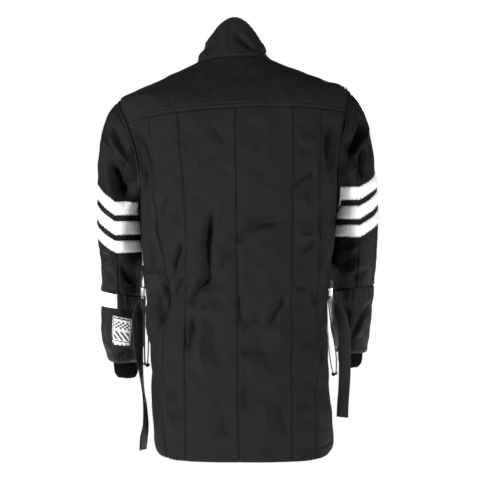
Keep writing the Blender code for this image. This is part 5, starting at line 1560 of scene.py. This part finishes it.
def add_forearm_trim():
    """The white band under the left elbow seam and the label place below it."""
    turns = even_turns("left", SLEEVE_FRONT_TURN, BAND_END_TURN, BAND_SECTION, FOREARM_STEP)
    first = ELBOW_SECTION + BAND_GAP
    section = sleeve_grid("left", turns, first, first + BAND_SECTIONS, FINE_BORDER_MARKS, FINE_BORDER_MARKS)
    trim = {"cloth": APPLIQUE, "gap": SKIN_GAP + APPLIQUE, "roll": APPLIQUE_ROLL}
    add_sleeve_piece(
        "forearm_band_left", "left", turns, section, forearm_lift, WHITE, "white_cloth", **trim
    )
    across, along = np.meshgrid(*(np.linspace(0, 1, count) for count in PATCH_GRID))
    turn = PATCH_TURNS[0] + (PATCH_TURNS[1] - PATCH_TURNS[0]) * across
    section = PATCH_SECTIONS[0] + (PATCH_SECTIONS[1] - PATCH_SECTIONS[0]) * along
    section = section + PATCH_SLANT * (0.5 - across)
    turn = turn - PATCH_TWIST * (along - 0.5)
    add_sleeve_piece(
        "sleeve_patch", "left", turn, section, forearm_lift, LABEL, "white_cloth", **trim,
        stitches={border: (PATCH_STITCH,) for border in BORDERS},
    )


# Side adjusters


def side_of_body(side, angle, level):
    """Points and normals of the body on one side, as on the left."""
    sign = 1 if side == "left" else -1
    angle = sign * np.asarray(angle, float)
    level = np.asarray(level, float)
    points = body_form(angle, level)
    normals = surface_normal(body_form, angle, level)
    points = points + normals * body_folds(angle, level, points)[..., None]
    return mirror(side, points), mirror(side, normals)


def add_webbing(name, node, side, route, width_way):
    """A flat strip of webbing along a route, with rounded selvages."""
    along = unit(np.gradient(route, axis=0))
    width_way = unit(width_way - along * np.sum(width_way * along, axis=1, keepdims=True))
    face = unit(np.cross(width_way, along))
    part = np.array(WEBBING_COLUMNS)
    power, least = WEBBING_EDGE
    thick = np.sqrt(np.clip(1 - np.abs(part) ** power, least, 1)) * WEBBING_THICK / 2
    middle = route[:, None, :] + width_way[:, None, :] * part[None, :, None] * WEBBING_WIDTH / 2
    half = face[:, None, :] * thick[None, :, None]
    outer, inner = mirror(side, middle + half), mirror(side, middle - half)
    uv = np.stack([arc(outer, 1) - WEBBING_WIDTH / 2, arc(outer, 0)], axis=-1)
    obj = finished(name, grid_mesh(outer, inner, False, uv), WEBBING, [node], sharp=80)
    float(arc(route, 0)[-1])
    return outer, mirror(side, np.broadcast_to(face[:, None, :], outer.shape))


def add_box_stitch(outer, face, first, last):
    """A stitched square with a cross in it, between two rows of a strip of webbing."""
    round_it = ((first, 2), (first, -3), (last, -3), (last, 2), (first, 2), (last, -3))
    for spots in (round_it, ((first, -3), (last, 2))):
        rows, columns = zip(*spots)
        add_stitches(outer[rows, columns], face[rows, columns])


def add_strap(side):
    level = np.linspace(*ANCHOR_LEVELS, ANCHOR_ROWS)
    points, normals = side_of_body(side, np.full(len(level), ANCHOR_ANGLE), level)
    anchor = points + normals * (SKIN_GAP + WEBBING_THICK / 2)
    anchor_way = unit(np.cross(np.array([0.0, 0.0, 1.0]), normals))
    rows = finer(np.array(STRAPS[side], float), STRAP_STEPS)
    turn = np.radians(rows[:, 3])
    hanging_way = np.stack([np.cos(turn), np.sin(turn), np.zeros(len(turn))], axis=1)
    route = np.concatenate([anchor, rows[:, :3]])
    way = np.concatenate([anchor_way, hanging_way])
    outer, face = add_webbing(f"strap_{side}_webbing", "strap_" + side, side, route, way)
    add_box_stitch(outer, face, *ANCHOR_STITCH_ROWS)


def add_ring_tab(side):
    stand_off, level = finer(np.array(TAB_ROUTE), TAB_STEPS).T
    points, normals = side_of_body(side, np.full(len(level), TAB_ANGLE), level)
    normals = unit(normals * np.array([1.0, 1.0, 0.0]))
    normals = np.broadcast_to(unit(normals.mean(axis=0)), normals.shape)
    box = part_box(f"ring_{side}_1")
    ring_x = abs(box[0][0] + box[1][0]) / 2
    rest = side_of_body(side, TAB_ANGLE, RING_TOP)[0][0] + RING_STAND_OFF
    shift = (ring_x - rest) * (1 - ramp(level, *TAB_SHIFT_LEVELS))
    points = points + normals * (stand_off + shift)[:, None]
    way = np.broadcast_to(unit(np.cross(np.array([0.0, 0.0, 1.0]), normals[0])), points.shape)
    outer, face = add_webbing(f"ring_tab_{side}_webbing", "ring_tab_" + side, side, points, way)
    add_box_stitch(outer, face, *TAB_STITCH_ROWS)


def add_ring(side, index):
    """A rounded rectangle of wire in the place of its CAD node."""
    node = f"ring_{side}_{index}"
    low, high = (np.array(corner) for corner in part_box(node))
    centre, size = (low + high) / 2, (high - low) / 2 - RING_WIRE
    bm = bmesh.new()
    bmesh.ops.create_grid(bm, x_segments=RING_GRID[0], y_segments=RING_GRID[1], size=0.5)
    for vert in bm.verts:
        turn = 2 * math.pi * (vert.co.x + 0.5)
        roll = 2 * math.pi * (vert.co.y + 0.5)
        way = np.array([math.cos(turn), math.sin(turn)])
        corner = np.clip(way * 4, -1, 1) * (size[1:] - RING_CORNER) + way * RING_CORNER
        out = RING_WIRE * math.cos(roll)
        y, z = corner + way * out
        vert.co = centre + np.array([RING_WIRE * math.sin(roll), y, z])
    bmesh.ops.remove_doubles(bm, verts=bm.verts, dist=1e-6)
    finished(node + "_wire", bm, CHROME, [node])


# Zip


def front_line(x, level):
    """Points and normals of the front at a distance x from its centre line."""
    edge = zip_edge(level, np.maximum(np.abs(x), 1e-6))
    angle = np.where(x >= 0, edge, -edge)
    return body_form(angle, level), surface_normal(body_form, angle, level)


def add_bevelled(bm, size, place, turn, bevel, segments=2):
    """A box with rounded edges, turned and then moved to its place."""
    made = bmesh.ops.create_cube(bm, size=1.0)["verts"]
    bmesh.ops.scale(bm, vec=size, verts=made)
    edges = list({edge for vert in made for edge in vert.link_edges})
    rounded = bmesh.ops.bevel(
        bm, geom=edges, offset=bevel, segments=segments, profile=0.5, affect="EDGES", material=-1
    )
    verts = {vert for face in rounded["faces"] for vert in face.verts}
    verts = list(verts | {vert for vert in made if vert.is_valid})
    bmesh.ops.rotate(bm, cent=(0, 0, 0), matrix=turn, verts=verts)
    bmesh.ops.translate(bm, vec=place, verts=verts)


def merge(whole, part):
    """Adds one mesh to another, which is quicker than making everything in one."""
    mesh = bpy.data.meshes.new("part")
    part.to_mesh(mesh)
    part.free()
    whole.from_mesh(mesh)
    bpy.data.meshes.remove(mesh)


def add_zip():
    levels = np.linspace(HEM_LEVEL, NECK_LEVEL, ZIP_ROWS)
    for side, sign in (("left", 1), ("right", -1)):
        edges = np.linspace(*TAPE_EDGES, 6) * sign
        x, level = np.meshgrid(edges[::sign], levels)
        points, normals = front_line(x, level)
        outer = points - normals * TAPE_DEPTH
        uv = np.stack([arc(outer, 1), arc(outer, 0)], axis=-1)
        bm = grid_mesh(outer, outer - normals * TAPE_THICK, False, uv)
        obj = finished(f"zip_tape_{side}_cloth", bm, TAPE, ["zip_tape_" + side])
        float(arc(outer, 0)[-1].max())
    dense = np.linspace(HEM_LEVEL + ZIP_END_GAP, NECK_LEVEL - ZIP_END_GAP, ZIP_SAMPLES)
    line, normals = front_line(np.zeros(len(dense)), dense)
    length = arc(line, 0)
    at = np.arange(0, length[-1], ZIP_PITCH / 2)
    line = sample(at, length, line)
    normals = unit(sample(at, length, normals) * np.array([0.0, 1.0, 1.0]))
    chain = bmesh.new()
    for start in range(0, len(at), TEETH_AT_ONCE):
        row = bmesh.new()
        for index in range(start, min(start + TEETH_AT_ONCE, len(at))):
            out = Vector(normals[index])
            across = Vector((1.0, 0.0, 0.0))
            turn = Matrix((across, out.cross(across), out)).transposed()
            side = TOOTH_OFFSET if index % 2 else -TOOTH_OFFSET
            place = Vector(line[index]) + across * side - out * CHAIN_DEPTH
            add_bevelled(row, TOOTH, place, turn, FINE_BEVEL, 1)
        merge(chain, row)
    finished("zip_teeth", chain, CHROME, ["zip_chain"])


def add_slider():
    """The slider on the teeth, and its pull hanging from the bridge."""
    point, normal = (found[0] for found in front_line(np.array([0.0]), np.array([SLIDER_LEVEL])))
    turn = Matrix.Rotation(-math.atan2(normal[2], -normal[1]), 3, "X")

    def add_boxes(name, boxes, node, body):
        bm = bmesh.new()
        for size, place, bevel in boxes:
            add_bevelled(bm, size, turn @ Vector(place) + Vector(point), turn, bevel)
        finished(name, bm, CHROME, [node], body=body)

    thick = SLIDER_SIZE[1]
    bar_width, bar_thick, bar_length = BRIDGE_BAR
    bar_y = -thick - BRIDGE_CLEARANCE - bar_thick / 2
    leg_y = -thick - BRIDGE_CLEARANCE / 2 - bar_thick / 4
    leg_size = (bar_width, BRIDGE_CLEARANCE + bar_thick, bar_thick)
    leg_z = bar_length / 2 - bar_thick / 2
    boxes = [(SLIDER_SIZE, (0, -thick / 2, 0), SLIDER_BEVEL), (BRIDGE_BAR, (0, bar_y, 0), BAR_BEVEL)]
    boxes += [(leg_size, (0, leg_y, sign * leg_z), FINE_BEVEL) for sign in (1, -1)]
    add_boxes("zip_slider_metal", boxes, "zip_slider", "jacket")
    eye_width, eye_length = PULL_EYE
    plate_width, plate_length = PULL_PLATE
    ridge_share, ridge_lift, ridge_height = PULL_RIDGE
    arm_x = eye_width / 2 + PULL_ARM / 2
    arm_size = (PULL_ARM, PULL_THICK, eye_length + PULL_PIN)
    pin_y = -thick - BRIDGE_CLEARANCE / 2
    plate_z = -eye_length - plate_length / 2
    ridge_size = (plate_width * ridge_share, PULL_THICK + ridge_lift, ridge_height)
    boxes = [((eye_width + 2 * PULL_ARM, PULL_PIN, PULL_PIN), (0, pin_y, 0), BAR_BEVEL)]
    boxes += [(arm_size, (sign * arm_x, pin_y, -eye_length / 2), FINE_BEVEL) for sign in (1, -1)]
    boxes.append(((plate_width, PULL_THICK, plate_length), (0, pin_y, plate_z), BAR_BEVEL))
    for share in PULL_RIDGE_PLACES:
        boxes.append((ridge_size, (0, pin_y, -eye_length - plate_length * share), FINE_BEVEL))
    add_boxes("zip_pull_metal", boxes, "zip_pull", "pull_tab")


def add_thread():
    """Every stitch as a small bar lying in its groove."""
    whole = bmesh.new()
    whole.loops.layers.uv.new("UVMap")
    for starts, ends, ups in STITCHES:
        row = bmesh.new()
        for start, end, up in zip(starts, ends, ups):
            along = Vector(end - start)
            length = along.length
            if length < SHORTEST_STITCH:
                continue
            along.normalize()
            side = along.cross(Vector(up)).normalized()
            top = side.cross(along)
            place = Matrix((side, along, top)).transposed().to_4x4()
            place.translation = Vector((start + end) / 2) + top * THREAD * 0.2
            scale = Matrix.Diagonal((THREAD, length, THREAD * 0.8, 1.0))
            bmesh.ops.create_cube(row, size=1.0, matrix=place @ scale)
        merge(whole, row)
    finished("topstitching", whole, THREAD_LOOK, [], sharp=180)


add_back()
add_yoke()
add_fronts()
add_collar()
for side in ("left", "right"):
    add_sleeve(side)
    add_forearm(side)
    add_strap(side)
    add_ring_tab(side)
    add_ring(side, 1)
    add_ring(side, 2)
add_forearm_trim()
add_zip()
add_slider()
add_thread()


# Stage


def add_light(name, place, power):
    data = bpy.data.lights.new(name, "AREA")
    data.shape = "DISK"
    data.size = LIGHT_SIZE
    data.energy = power
    lamp = bpy.data.objects.new(name, data)
    lamp.location = place
    lamp.rotation_euler = (Vector(LIGHT_AIM) - Vector(place)).to_track_quat("-Z", "Y").to_euler()
    bpy.context.scene.collection.objects.link(lamp)


def add_floor():
    """A pale floor below the jacket."""
    shader = Shader(
        "pale_paper", Base_Color=(0.92, 0.92, 0.92, 1.0), Roughness=0.9, Specular_IOR_Level=0.0,
        Emission_Color=(0.95, 0.95, 0.95, 1.0), Emission_Strength=FLOOR_GLOW,
    )
    bm = bmesh.new()
    bmesh.ops.create_grid(bm, x_segments=1, y_segments=1, size=FLOOR_SIZE / 2)
    bmesh.ops.translate(bm, vec=(0, 0, FLOOR_LEVEL), verts=bm.verts)
    mesh = bpy.data.meshes.new("floor")
    bm.to_mesh(mesh)
    bm.free()
    mesh.materials.append(shader.material)
    obj = bpy.data.objects.new("floor", mesh)
    bpy.context.scene.collection.objects.link(obj)


add_floor()
world = bpy.data.worlds.new("studio")
world.use_nodes = True
sky = Nodes(world.node_tree)
background = sky.tree.nodes["Background"]
sky.join(background.inputs["Color"], (1.0, 1.0, 1.0, 1.0))
seen = sky.node("ShaderNodeLightPath")
sky.join(background.inputs["Strength"], seen * (1.0 - AMBIENT) + AMBIENT)
bpy.context.scene.world = world
for name, (place, power) in LIGHTS.items():
    add_light(name, place, power)

camera_data = bpy.data.cameras.new("camera")
camera_data.lens = CAMERA_LENS
camera = bpy.data.objects.new("camera", camera_data)
camera.location = CAMERA_PLACE
camera.rotation_euler = (math.radians(90), 0, math.radians(180))
bpy.context.scene.collection.objects.link(camera)
bpy.context.scene.camera = camera
bpy.context.scene.view_settings.view_transform = "Standard"
